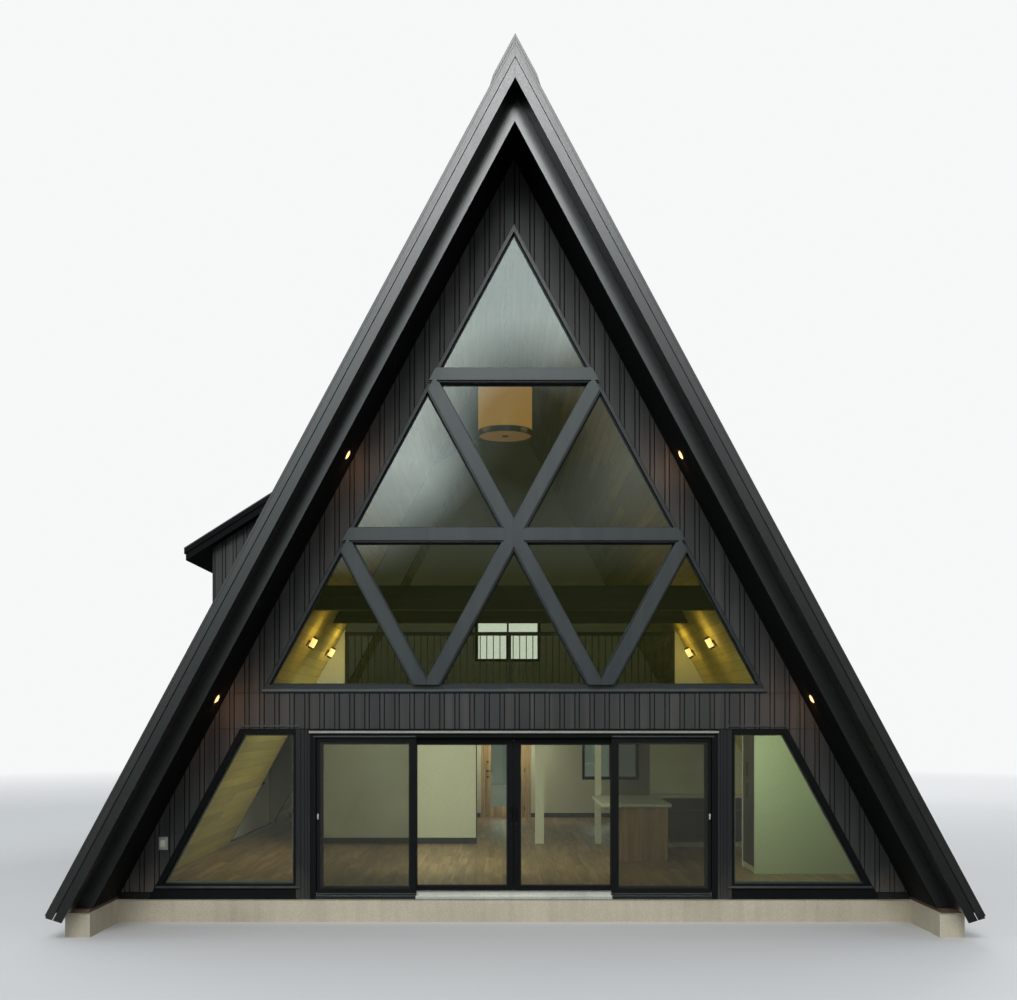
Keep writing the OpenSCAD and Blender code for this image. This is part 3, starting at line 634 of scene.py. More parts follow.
def planks(g, given):
    """Rows of planks along x of the vector: a tone for each and a mask for the gaps."""
    parts = g.split(given["Vector"])
    across = g.math("DIVIDE", parts["Y"], given["Width"])
    row = g.math("FLOOR", across)
    offset = g.node("TexWhiteNoise", {"W": row}, noise_dimensions="1D").outputs["Value"]
    along = g.add(g.math("DIVIDE", parts["X"], given["Length"]), offset)
    cell = g.join(row, g.math("FLOOR", along))
    tone = g.node("TexWhiteNoise", {"Vector": cell}, noise_dimensions="3D").outputs["Value"]
    masks = []
    for value, size in ((across, given["Width"]), (along, given["Length"])):
        part = g.math("FRACT", value)
        edge = g.times(g.math("MINIMUM", part, g.math("SUBTRACT", 1.0, part)), size)
        masks.append(g.math("LESS_THAN", edge, g.times(given["Gap"], 0.5)))
    turned = g.join(g.add(parts["X"], tone), parts["Y"], g.times(tone, 9.0))
    return {"Tone": tone, "Gap": g.math("MAXIMUM", *masks), "Vector": turned}


def settled_dust(g, given):
    """Dust and pollen that lie where a surface looks up."""
    up = g.split(g.node("NewGeometry").outputs["Normal"])["Z"]
    patch = g.ramp(g.noise(g.here(), 3.2, 5.0), 0.35, 0.75)
    mask = g.times(g.ramp(up, 0.3, 0.95), g.times(patch, given["Amount"]))
    return {"Color": g.mix(mask, given["Color"], given["Dust"])}


def splashed_foot(g, given):
    """Soil splashed on the lowest part of an outside wall."""
    at = g.here()
    height = g.split(at)["Z"]
    ragged = g.ramp(g.noise(g.scaled(at, (3.0, 3.0, 1.0)), 2.0, 5.0), 0.2, 0.8, -0.2, 0.2)
    mask = g.times(g.ramp(g.add(height, ragged), 0.2, 0.75, 1.0, 0.0), given["Amount"])
    return {"Color": g.mix(mask, given["Color"], given["Soil"])}


def build_groups():
    """Builds every shared effect once."""
    color, word, value = (0.5, 0.5, 0.5, 1.0), "vector", 0.5
    paint = {"Color": color, "Wash": color, "Streaks": 0.3, "Blotches": 0.3, "Tone": value,
             "Tone Spread": 0.0, "Roughness": value}
    make_group("Weathered", paint, {"Color": tuple, "Roughness": float, "Height": float}, weathered)
    wood = {"Vector": word, "Light": color, "Dark": color, "Tone": value}
    make_group("Wood Grain", wood, {"Color": tuple, "Height": float}, wood_grain)
    rows = {"Vector": word, "Width": 0.15, "Length": 2.4, "Gap": 0.003}
    make_group("Planks", rows, {"Tone": float, "Gap": float, "Vector": str}, planks)
    for name, label, amount, build in (("Settled Dust", "Dust", 0.3, settled_dust),
                                       ("Splashed Foot", "Soil", 0.4, splashed_foot)):
        make_group(name, {"Color": color, label: color, "Amount": amount}, {"Color": tuple}, build)


class Finish(Graph):
    """A material being put together round its Principled shader."""

    def __init__(self, name, **constants):
        self.material = bpy.data.materials.new(name)
        self.material.use_nodes = True
        super().__init__(self.material.node_tree)
        self.shader = self.tree.nodes["Principled BSDF"]
        for key, value in constants.items():
            self.shader.inputs[key.replace("_", " ")].default_value = value
        self.at = self.here()

    def group(self, name, **inputs):
        made = self.node("Group", node_tree=bpy.data.node_groups[name])
        for key, value in inputs.items():
            self.feed(made.inputs[key.replace("_", " ")], value)
        return made.outputs

    def tone(self):
        return self.node("Attribute", attribute_name="tone").outputs["Fac"]

    def set(self, label, value):
        self.feed(self.shader.inputs[label], value)

    def fed(self, label):
        return self.shader.inputs[label].links[0].from_socket

    def bump(self, height, strength):
        made = self.node("Bump", {"Height": height, "Strength": strength, "Distance": 0.002})
        self.set("Normal", made.outputs[0])


def rgb(color, factor=1.0):
    """A colour property as the four numbers a shader takes."""
    return tuple(channel * factor for channel in color[:3]) + (1.0,)


def painted(name, color, wash, roughness, streaks=0.3, blotches=0.3, spread=0.0, bump=0.25, dust=0.0,
            foot=0.0, **constants):
    """A painted, coated or cast surface that the weather has marked."""
    f = Finish(name, **constants)
    tone = f.tone() if spread else 0.5
    out = f.group("Weathered", Color=rgb(color), Wash=rgb(wash), Streaks=streaks, Blotches=blotches,
                  Tone=tone, Tone_Spread=spread, Roughness=roughness)
    shown = out["Color"]
    if foot:
        shown = f.group("Splashed Foot", Color=shown, Soil=(0.2, 0.165, 0.125, 1), Amount=foot)["Color"]
    if dust:
        shown = f.group("Settled Dust", Color=shown, Dust=(0.3, 0.27, 0.2, 1), Amount=dust)["Color"]
    f.set("Base Color", shown)
    f.set("Roughness", out["Roughness"])
    f.bump(out["Height"], bump)
    return f


def planked(name, light, dark, width, length, gap, roughness, axes, gap_shade=0.25):
    """Boards laid side by side, their long side along the first of the two axes."""
    f = Finish(name, Roughness=roughness)
    parts = f.split(f.at)
    turned = f.join(parts[axes[0]], parts[axes[1]])
    rows = f.group("Planks", Vector=turned, Width=width, Length=length, Gap=gap)
    grain = f.group("Wood Grain", Vector=rows["Vector"], Light=rgb(light), Dark=rgb(dark), Tone=rows["Tone"])
    f.set("Base Color", f.mix(rows["Gap"], grain["Color"], rgb(dark, gap_shade)))
    f.bump(f.math("SUBTRACT", f.times(grain["Height"], 0.12), rows["Gap"]), 0.3)


def grained(name, light, dark, roughness, along="Z", bump=0.15):
    """Solid wood with its grain along one axis, and a tone for each board."""
    f = Finish(name, Roughness=roughness)
    parts = f.split(f.at)
    turned = f.join(*(parts[axis] for axis in {"X": "XYZ", "Y": "YZX", "Z": "ZXY"}[along]))
    out = f.group("Wood Grain", Vector=turned, Light=rgb(light), Dark=rgb(dark), Tone=f.tone())
    f.set("Base Color", out["Color"])
    f.bump(out["Height"], bump)


def glazed(name, tint, shade_tint, ior):
    """Coated glass that dims the daylight behind it and casts no caustic."""
    f = Finish(name, Base_Color=tint, Roughness=0.0, Transmission_Weight=1.0, IOR=ior)
    clear = f.node("BsdfTransparent", {"Color": shade_tint})
    ray = f.node("LightPath").outputs
    f.show(f.blend(f.math("MAXIMUM", ray["Is Shadow Ray"], ray["Is Diffuse Ray"]), f.shader, clear))


def glowing(name, color, strength, body_color):
    """A lamp's lens that glows, a little uneven like frosted glass."""
    f = Finish(name, Base_Color=rgb(body_color), Roughness=0.4, Emission_Strength=strength)
    frost = f.ramp(f.noise(f.at, 38.0, 3.0), 0.3, 0.7, 0.88, 1.06)
    f.set("Emission Color", f.brighter(tuple(color), frost))


def raked(name, edge, face, wash, split):
    """Coated metal of a roof edge: a duller edge above the line split, a smoother face below it."""
    f = painted(name, face, wash, 0.34, 0.25, 0.15, Coat_Roughness=0.3)
    parts = f.split(f.at)
    away = f.times(f.math("ABSOLUTE", parts["X"]), math.sin(PITCH))
    layer = f.add(away, f.times(parts["Z"], math.cos(PITCH)))
    over = f.math("GREATER_THAN", layer, SOFFIT_FOOT * math.sin(PITCH) + split)
    plain, rough = f.fed("Base Color"), f.fed("Roughness")
    worn = f.ramp(f.noise(f.at, 3.0, 5.0), 0.35, 0.7)
    f.set("Base Color", f.mix(over, plain, f.mix(worn, rgb(edge, 0.7), rgb(edge, 2.0))))
    f.set("Roughness", f.add(rough, f.times(over, 0.1)))
    f.set("Coat Weight", f.ramp(over, 0.0, 1.0, 0.75, 0.9))


def meshed(name):
    """Woven insect mesh: half clear, sagging a little."""
    f = Finish(name, Roughness=0.85, Specular_IOR_Level=0.15)
    weave = f.noise(f.scaled(f.at, (900.0, 1.0, 900.0)), 1.0, 1.0)
    sag = f.noise(f.at, 1.4, 3.0)
    f.set("Base Color", f.mix(sag, (0.045, 0.046, 0.038, 1), (0.065, 0.066, 0.055, 1)))
    f.set("Alpha", f.ramp(sag, 0.3, 0.7, 0.33, 0.38))
    f.bump(weave, 0.2)


# What a user may change

def length(name, description, default, low=0.0):
    """A size in metres, shown with its unit."""
    return FloatProperty(name=name, description=description, default=default, min=low, precision=3,
                         unit="LENGTH")


def shade(name, description, default):
    """A colour of one finish."""
    return FloatVectorProperty(name=name, description=description, default=default, size=3, min=0.0, max=1.0,
                               subtype="COLOR")


class CabinSizes(PropertyGroup):
    """Sizes of what is laid over the frame."""

    board_pitch: length("Board pitch", "From one siding batten to the next", 0.194)
    batten_width: length("Batten width", "Width of the narrow raised strip", 0.046)
    batten_groove: length("Batten groove", "Dark gap on each side of a batten", 0.012)
    batten_start: length("Batten start", "Where one batten of the front lies", -2.286, -10.0)
    lens: FloatProperty(name="Lens", description="Focal length of the camera in millimetres", default=43.78,
                        unit="CAMERA")


class CabinColors(PropertyGroup):
    """Colours of the finishes."""

    concrete: shade("Concrete", "Foundation walls", (0.78, 0.71, 0.54))
    timber: shade("Timber", "Treated sill plates", (0.2, 0.12, 0.07))
    siding: shade("Siding", "Stained boards of the outside walls", (0.032, 0.034, 0.035))
    # The soffit colour is dark boards pushed to near black: partly painted shade under the overhangs
    soffit: shade("Soffit", "Boards under the roof overhang", (0.004, 0.0045, 0.005))
    roofing: shade("Roofing", "Ribbed roof metal", (0.035, 0.037, 0.04))
    fascia: shade("Fascia", "Coated metal of the rakes", (0.005, 0.0054, 0.0058))
    frames: shade("Frames", "Coated window and door frames", (0.026, 0.034, 0.038))
    sill: shade("Sill", "Bare sill and head flashings", (0.78, 0.77, 0.7))
    plaster: shade("Plaster", "Inside walls and posts", (0.72, 0.73, 0.6))
    # The lining's strong yellow is partly painted warm lamplight over pale boards
    lining: shade("Lining", "Boards under the roof inside", (0.6, 0.5, 0.17))
    floor: shade("Floor", "Floor boards", (0.42, 0.27, 0.14))
    door: shade("Door wood", "Oiled wood of the back door", (0.84, 0.59, 0.32))
    beams: shade("Beams", "Tie beams under the ridge", (0.05, 0.035, 0.025))
    kitchen: shade("Kitchen", "Worktops and end panels", (0.72, 0.75, 0.64))
    lamp_light: shade("Lamp light", "Glow of the lamps", (1.0, 0.62, 0.24))
    glow: FloatProperty(name="Glow", description="How strongly the lamps glow", default=1.6, min=0.0)


# Which frame parts take which finish
FINISH_OF = {
    "poured concrete": "foundation_side_walls foundation_end_walls",
    "sill timber": "sill_plates",
    "floor boards": "ground_floor loft_floor",
    "black soffit with painted shade": "roof_right roof_left_front roof_left_upper roof_left_back dormer_roof",
    "ribbed roof metal": "metal_roofing ridge_cap",
    "rake metal": "outer_rakes",
    "inner rake metal": "inner_rakes",
    "lining boards": "roof_lining",
    # The walls under the siding take a near-black finish that is painted shade for the grooves between the
    # boards
    "painted shade behind siding": "front_gable_walls belt_wall front_lower_walls dormer_long_wall dormer_end_walls"
                     " back_lower_walls back_gable_wall",
    "window frame metal": "triangle_window_frame",
    "door frame metal": "window_frames door_head door_jambs fixed_panel_frames left_slider_frame"
                        " right_slider_frame",
    "window bar metal": "window_beams window_diagonals",
    "clear glass": "triangle_glass window_glass left_slider_glass right_slider_glass",
    "sill metal": "door_sill",
    "screen metal": "left_screen right_screen",
    "oiled door wood": "back_door",
    "pale plaster": "inner_walls",
    "dark beam wood": "tie_beams",
    "railing metal": "loft_railing",
    "kitchen board": "kitchen_units",
    "lamp metal": "lamps",
    "grey plastic": "outlet_box",
}


def make_finishes(c):
    """Builds every finish from the colours the user can change."""
    painted("poured concrete", c.concrete, rgb(c.concrete, 0.6), 0.88, 0.3, 0.45, bump=0.7, dust=0.25,
            foot=0.2)
    grained("sill timber", c.timber, rgb(c.timber, 0.45), 0.8, "Y", 0.4)
    planked("floor boards", c.floor, rgb(c.floor, 0.5), 0.14, 1.9, 0.003, 0.38, "YX")
    # Both soffit finishes: dark boards set near black, partly painted shade under the overhangs
    for name, spread in (("black soffit with painted shade", 0.0), ("soffit boards", 0.35)):
        painted(name, c.soffit, rgb(c.soffit, 2.0), 0.65, 0.1, 0.3, spread, Specular_IOR_Level=0.1)
    painted("ribbed roof metal", c.roofing, (0.085, 0.083, 0.078), 0.4, 0.3, 0.35, dust=0.3, Coat_Weight=0.4)
    raked("rake metal", (0.006, 0.006, 0.0056), c.fascia, rgb(c.fascia, 2.0), 0.29)
    painted("inner rake metal", c.fascia, rgb(c.fascia, 2.0), 0.36, 0.25, 0.15, Coat_Weight=1.0,
            Coat_Roughness=0.25, Specular_IOR_Level=0.4)
    # Lining boards: their strong yellow is partly painted warm lamplight over pale boards
    planked("lining boards", c.lining, rgb(c.lining, 0.86), 0.14, 3.6, 0.005, 0.55, "YZ", 0.55)
    # Near-black wall under the boards and battens: painted shade that darkens the grooves between them
    painted("painted shade behind siding", (0.008, 0.008, 0.008), (0.02, 0.02, 0.02), 0.8, Specular_IOR_Level=0.2)
    painted("stained siding", c.siding, (0.1, 0.088, 0.075), 0.6, 0.45, 0.2, 0.3, 0.5, foot=0.45)
    painted("window frame metal", rgb(c.frames, 0.4), (0.03, 0.033, 0.035), 0.45, 0.25, 0.2, dust=0.15,
            Coat_Weight=0.15, Coat_Roughness=0.3)
    painted("window bar metal", c.frames, (0.07, 0.078, 0.08), 0.42, 0.3, 0.25, dust=0.3, Coat_Weight=0.5,
            Coat_Roughness=0.22)
    painted("door frame metal", (0.004, 0.0045, 0.0052), (0.01, 0.0105, 0.011), 0.5, 0.2, 0.2, dust=0.05,
            Specular_IOR_Level=0.14)
    painted("post paint", (0.014, 0.016, 0.018), (0.035, 0.034, 0.032), 0.55, 0.35, 0.2, 0.25, foot=0.2,
            Specular_IOR_Level=0.3)
    painted("roof edge metal", (0.007, 0.007, 0.0065), (0.018, 0.0165, 0.014), 0.45, 0.4, 0.3,
            Coat_Weight=0.8, Coat_Roughness=0.3)
    painted("black trim", (0.01, 0.011, 0.012), (0.03, 0.03, 0.03), 0.5, 0.25, 0.2, dust=0.15,
            Specular_IOR_Level=0.3)
    glazed("clear glass", (0.85, 0.91, 0.79, 1), (0.2, 0.215, 0.18, 1), 1.85)
    painted("sill metal", c.sill, (0.35, 0.34, 0.31), 0.4, 0.2, 0.4, dust=0.2, Metallic=0.6)
    painted("screen metal", (0.006, 0.0065, 0.007), (0.012, 0.012, 0.012), 0.5, 0.2, 0.2,
            Specular_IOR_Level=0.14)
    meshed("insect mesh")
    painted("flashing metal", rgb(c.sill, 0.55), (0.2, 0.2, 0.18), 0.45, 0.2, 0.4, Metallic=0.4)
    grained("oiled door wood", c.door, rgb(c.door, 0.5), 0.42)
    painted("pale plaster", c.plaster, rgb(c.plaster, 0.85), 0.85, 0.1, 0.35, bump=0.2)
    grained("dark beam wood", c.beams, rgb(c.beams, 0.45), 0.6, "X")
    painted("railing metal", (0.02, 0.02, 0.021), (0.04, 0.04, 0.04), 0.4)
    painted("kitchen board", c.kitchen, rgb(c.kitchen, 0.85), 0.45, 0.0, 0.3, bump=0.1)
    grained("island oak", (0.56, 0.36, 0.19), (0.36, 0.22, 0.11), 0.45)
    grained("dark cabinet wood", (0.07, 0.055, 0.045), (0.035, 0.027, 0.022), 0.4)
    painted("lamp metal", (0.03, 0.03, 0.03), (0.06, 0.06, 0.06), 0.4)
    painted("grey plastic", (0.42, 0.42, 0.4), (0.3, 0.29, 0.26), 0.5, 0.3, 0.3)
    glowing("lamp lens", c.lamp_light, c.glow, (0.8, 0.7, 0.5))
    glowing("amber shade", (1.0, 0.52, 0.1), 0.27, (0.3, 0.17, 0.05))
    glowing("amber diffuser", (1.0, 0.5, 0.12), 0.12, (0.2, 0.12, 0.05))


class CABIN_OT_finishes(Operator):
    """Gives every part of the frame its finish"""

    bl_idname = "cabin.finishes"
    bl_label = "Finishes of the frame"

    def execute(self, context):
        build_groups()
        make_finishes(context.scene.cabin_colors)
        for name, parts in FINISH_OF.items():
            for part in parts.split():
                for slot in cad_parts[part].material_slots:
                    slot.material = bpy.data.materials[name]
        return {"FINISHED"}


class CABIN_OT_front_siding(Operator):
    """Lays board and batten siding on the front: the gable bands, the belt and the lower walls"""

    bl_idname = "cabin.front_siding"
    bl_label = "Front siding"

    def execute(self, context):
        band, belt, lower = front_wall(-0.003, SIDING_FOOT, BELT_TOP, 0, (0.002, 0.004), 0.002)
        for name, regions in (("gable", both(band)), ("belt", [belt]), ("lower", both(lower))):
            shape = Shape(11)
            for region in regions:
                lay_battened_siding(shape, region, facing_front(FRONT))
            shape.piece("front_siding_" + name, ["stained siding"], "dark_siding")
        return {"FINISHED"}


def casing_boards(shape, where, foot, left, right, head, top, thick=0.024, low=0.0):
    """Flat boards on both sides of an opening and one across its head."""
    for outline in (rectangle(left[0], foot, left[1], head), rectangle(right[0], foot, right[1], head),
                    rectangle(left[0], head + 0.001, right[1], top)):
        shape.plate(outline, where, thick, 0.003, low)


def window_casing(shape, where, u0, v0, u1, v1):
    """Flat casing boards round a window, with a sloped sill and a drip cap over the head."""
    low, high, top = u0 - CASING, u1 + CASING, v1 + CASING
    casing_boards(shape, where, v0 - 0.004, (low, u0 - 0.004), (u1 + 0.004, high), v1 + 0.004, top)
    sill = [(0.001, v0 - 0.055), (0.05, v0 - 0.055), (0.052, v0 - 0.02), (0.02, v0 - 0.006),
            (0.001, v0 - 0.006)]
    cap = [(0.001, top + 0.001), (0.034, top + 0.001), (0.036, top + 0.01), (0.001, top + 0.022)]
    for profile, reach in ((sill, 0.015), (cap, 0.01)):
        shape.fold(profile, where, low - reach, high + reach)


class CABIN_OT_dormer_siding(Operator):
    """Lays the same siding on the dormer's long wall and end walls, with its corner boards"""

    bl_idname = "cabin.dormer_siding"
    bl_label = "Dormer siding"

    def execute(self, context):
        top = dormer_top(DORMER_WALL) - DORMER_DROP - 0.022
        wall = facing_left(-DORMER_WALL)
        region = rectangle(-DORMER_FAR + 0.003, SIDING_FOOT, -DORMER_NEAR - 0.003, top)
        shape = Shape(12)
        lay_battened_siding(shape, region, wall, seen_from_outside(DORMER_WINDOWS, 0.09))
        meet = dormer_meet(DORMER_DROP, ROOF_TOP + 0.055)
        out = DORMER_WALL + 0.016
        end = [(out, dormer_top(out) - DORMER_DROP), (meet, dormer_top(meet) - DORMER_DROP),
               by_width(out, ROOF_TOP + 0.055)]
        lay_battened_siding(shape, mirrored(end), facing_front(DORMER_NEAR))
        lay_battened_siding(shape, end, facing_back(DORMER_FAR))
        shape.piece("dormer_siding", ["stained siding"], "dark_siding")

        trims = Shape(13)
        x, near, far = -DORMER_WALL - 0.001, DORMER_NEAR - 0.02, DORMER_FAR + 0.02
        for y in (near, far - 0.095):
            trims.block((x - 0.025, y, SIDING_FOOT), (x, y + 0.095, top), 0.004)
        trims.block((x - 0.023, near, FLOOR + 0.004), (x, far, FLOOR + 0.048), 0.004)
        for corners in seen_from_outside(DORMER_WINDOWS):
            window_casing(trims, wall, *corners)
        trims.piece("dormer_trim", ["black trim"], "dark_siding")
        return {"FINISHED"}


class CABIN_OT_back_siding(Operator):
    """Lays the siding on the back wall round its windows and door, with their casings"""

    bl_idname = "cabin.back_siding"
    bl_label = "Back siding"

    def execute(self, context):
        wall, trim = facing_back(BACK), 0.09
        left, right, head = BACK_DOOR
        holes = seen_from_outside(BACK_WINDOWS, trim)
        holes.append((-right - trim, -1, -left + trim, head + trim))
        shape = Shape(14)
        lay_battened_siding(shape, under_slopes(SIDING_FOOT, -0.003), wall, holes)
        shape.piece("back_siding", ["stained siding"], "dark_siding")
        trims = Shape(15)
        for corners in seen_from_outside(BACK_WINDOWS):
            window_casing(trims, wall, *corners)
        casing_boards(trims, wall, FLOOR + 0.002, (-right - CASING, -right - 0.004),
                      (-left + 0.004, -left + CASING), head + 0.004, head + CASING)
        trims.piece("back_trim", ["black trim"], "dark_siding")
        return {"FINISHED"}


class CABIN_OT_base_trim(Operator):
    """Folds the black base flashing round the foot of the outside walls"""

    bl_idname = "cabin.base_trim"
    bl_label = "Base trim"

    def execute(self, context):
        shape = Shape(16)
        low, high = FOUNDATION + 0.003, FLOOR + 0.048
        profile = [(0.001, low), (0.03, low), (0.032, low + 0.008), (0.014, low + 0.018),
                   (0.014, high - 0.006), (0.022, high), (0.001, high)]
        corner, window = soffit_x(FLOOR, -0.004), side_x(FLOOR, SIDE_FRAME + 0.004)
        left, right, _ = BACK_DOOR
        for where, u0, u1 in (
            (facing_front(FRONT), -corner, -window), (facing_front(FRONT), window, corner),
            (facing_back(BACK), -corner, -right - 0.09), (facing_back(BACK), -left + 0.09, corner),
        ):
            shape.fold(profile, where, u0, u1)
        shape.piece("base_trim", ["black trim"], "black_frame")
        return {"FINISHED"}


def beside(outline, low, high, turn):
    """The part of an outline left (1) or right (-1) of a bar that climbs from low to high."""
    along = Vector((high[0] - low[0], high[1] - low[1])).normalized()
    inward = Vector((-along.y, along.x)) * turn
    return clip(outline, Vector(low) + inward * HALF_BAR, inward)


def lattice_panes():
    """Outlines of the nine panes between the bars of the triangular lattice."""
    low, middle, high = (LATTICE_LOW + row * ROW for row in range(3))
    half = HALF_TRIANGLE
    whole = [(-GLASS_HALF, GLASS_SILL), (GLASS_HALF, GLASS_SILL), (0, GLASS_APEX)]
    panes = [above(whole, high + HALF_BAR)]
    upper = below(above(whole, middle + HALF_BAR), high - HALF_BAR)
    upper_bars = [((0, middle), (-half, high)), ((0, middle), (half, high))]
    feet_and_heads = ((-1, -2), (-1, 0), (1, 0), (1, 2))
    lower_bars = [((foot * half, low), (head * half, middle)) for foot, head in feet_and_heads]
    for row, bars in ((upper, upper_bars), (below(whole, middle - HALF_BAR), lower_bars)):
        for left, right in zip([None] + bars, bars + [None]):
            pane = row
            if left:
                pane = beside(pane, *left, -1)
            if right:
                pane = beside(pane, *right, 1)
            panes.append(pane)
    return panes


class CABIN_OT_lattice(Operator):
    """Fits glazing beads in the triangular lattice, its sill nose and its cap plates"""

    bl_idname = "cabin.lattice"
    bl_label = "Triangular window lattice"

    def execute(self, context):
        beads = Shape(21)
        for pane in lattice_panes():
            beads.bead_round(pane, facing_front(GLASS_FRONT), facing_back(GLASS_FRONT + PANE))
        beads.piece("lattice_beads", ["window frame metal"], "black_frame")

        nose, z = Shape(22), GLASS_SILL - 0.086
        half = glass_x(z, EDGE_FRAME) - 0.004
        profile = [(0.0005, z), (0.024, z - 0.004), (0.028, z), (0.026, z + 0.026), (0.0005, z + 0.038)]
        nose.fold(profile, facing_front(FRAME_FRONT), -half, half)
        nose.piece("lattice_sill_nose", ["window bar metal"], "black_frame")

        plates = Shape(23)
        for x, row in ((-HALF_TRIANGLE, 1), (HALF_TRIANGLE, 1), (0, 2)):
            z = LATTICE_LOW + row * ROW
            outline = rectangle(x - 0.002, z - 0.073, x + 0.002, z + 0.073)
            plates.plate(outline, facing_front(FRONT - 0.08), 0.0012)
        plates.piece("lattice_cap_joints", ["black trim"], "black_frame")
        return {"FINISHED"}


class CABIN_OT_window_trim(Operator):
    """Fits beads, sills and head flashings to the slanted side windows and the plain windows"""

    bl_idname = "cabin.window_trim"
    bl_label = "Window trims"

    def execute(self, context):
        beads, spacers, rails, frame_width, half_rail = Shape(24), Shape(62), Shape(25), 0.05, 0.022
        pane = [(SIDE_INNER, SIDE_FOOT), (side_x(SIDE_FOOT), SIDE_FOOT), (side_x(SIDE_HEAD), SIDE_HEAD),
                (SIDE_INNER, SIDE_HEAD)]
        far = facing_back(GLASS_FRONT + PANE)
        for outline in both(pane):
            beads.bead_round(outline, facing_front(GLASS_FRONT), far, 0.012)
            spacers.ring(inset(outline, 0.0125), 0.016, far, 0.006, 0.0005, 0.001)
        y, x = BACK - 0.09, -DORMER_WALL + 0.08
        for u0, v0, u1, v1 in BACK_WINDOWS:
            opening = inset(rectangle(u0, v0, u1, v1), frame_width)
            beads.bead_round(opening, facing_front(y), facing_back(y + PANE))
            (a, low), (b, _), (_, high), _ = opening
            middle = (a + b) / 2
            rails.block((middle - half_rail, BACK - 0.078, low), (middle + half_rail, BACK + 0.004, high))
        for corners in seen_from_outside(DORMER_WINDOWS):
            opening = inset(rectangle(*corners), frame_width)
            beads.bead_round(opening, facing_left(x), facing_right(x + PANE))
            (a, low), (b, _), (_, high), _ = opening
            middle = -(a + b) / 2
            rails.block((x - 0.084, middle - half_rail, low), (x - 0.012, middle + half_rail, high))
        beads.piece("window_beads", ["window bar metal"], "black_frame")
        spacers.piece("side_window_spacers", ["flashing metal"], "sill_metal")
        rails.piece("window_mullions", ["door frame metal"], "black_frame")

        flash, sill, cap = Shape(26), 0.448, 2.526
        profile = [(0.0005, sill), (0.024, sill - 0.006), (0.026, sill), (0.0005, sill + 0.022)]
        low, high = side_x(sill + 0.012, SIDE_FRAME) - 0.012, side_x(cap + 0.004, SIDE_FRAME) + 0.01
        for side in (-1, 1):
            flash.fold(profile, facing_front(FRAME_FRONT), *sorted((side * 2.772, side * low)))
            flash.side_block(side, (2.775, FRONT - 0.027, cap), (high, FRONT - 0.0185, cap + 0.02), 0.0015)
        flash.piece("side_window_sills", ["window bar metal"], "black_frame")

        posts = Shape(58)
        for u0, u1 in POST_BOARDS:
            for outline in both(rectangle(u0, 0.304, u1, HEAD - 0.006)):
                posts.plate(outline, facing_front(FRAME_FRONT - 0.0005), 0.006, 0.002)
        posts.piece("door_post_boards", ["post paint"], "dark_siding")
        return {"FINISHED"}


class CABIN_OT_patio_door(Operator):
    """Adds the patio door's head flashing, glazing beads, track covers and seals"""

    bl_idname = "cabin.patio_door"
    bl_label = "Patio door"

    def execute(self, context):
        head, stop, covers, beads = Shape(27), Shape(59), Shape(60), Shape(28)
        wide, narrow, inner, sill = DOOR_HALF + 0.014, DOOR_HALF - 0.071, 1.272, 0.337
        head.block((-wide, FRONT - 0.053, 2.446), (wide, FRONT - 0.0505, 2.474), 0.0008)
        head.finish = 1
        for side in (-1, 1):
            head.side_block(side, (1.27, FRONT - 0.024, 2.392), (2.59, FRONT - 0.0205, 2.41), 0.001)
            covers.side_block(side, (inner, FRONT - 0.0245, 0.302), (narrow, FRONT - 0.0205, sill), 0.001)
            covers.side_block(side, (inner, FRONT - 0.0243, sill - 0.0015),
                              (narrow, FRONT + 0.034, sill + 0.0005), 0.0005)
            outline = on_side(-side, rectangle(*FIXED_GLASS))
            beads.ring(outline, 0.018, facing_front(FRONT + 0.047), 0.01, 0.0005, 0.003)
        stop.block((-narrow, FRONT + 0.142, 2.352), (narrow, FRONT + 0.175, 2.389), 0.002)
        head.piece("door_head_flashing", ["flashing metal", "window bar metal"], "sill_metal")
        stop.piece("door_head_stop", ["black trim"], "black_frame")
        covers.piece("door_sill_covers", ["black trim"], "black_frame")
        beads.piece("fixed_panel_beads", ["black trim"], "black_frame")

        bushing = [(0.014, 0.0), (0.014, 0.004), (0.011, 0.006)]
        cylinder = [(0.011, 0.0), (0.011, 0.003), (0.008, 0.004)]
        for side, body in ((-1, "left_slider"), (1, "right_slider")):
            shape = Shape(29)
            shape.bead_round(on_side(side, rectangle(*SLIDER_GLASS)), facing_front(FRONT + 0.102),
                             facing_back(FRONT + 0.126), 0.016, (0.0105, 0.0085), 0.003)
            for form, z in ((bushing, 1.345), (bushing, 1.475), (cylinder, 1.26)):
                shape.lathe(form, front_at(side * 0.0305, FRONT + 0.09, z), 20)
            if side > 0:
                shape.block((0.006, FRONT + 0.1352, 0.4), (0.03, FRONT + 0.1408, 2.345), 0.001)
                shape.block((-0.024, FRONT + 0.141, 0.4), (0.03, FRONT + 0.145, 2.345), 0.0015)
            shape.piece(body + "_beads", ["black trim"], "black_frame", body, smooth=True)
        return {"FINISHED"}


def frame_bars(x0, x1, x2, x3, z0, z1, z2, z3, gap=0.0005):
    """Both stiles of a frame and the rails between them, as its outer and inner edges give them."""
    return (x0, x1, z0, z3), (x2, x3, z0, z3), (x1 + gap, x2 - gap, z0, z1), (x1 + gap, x2 - gap, z2, z3)


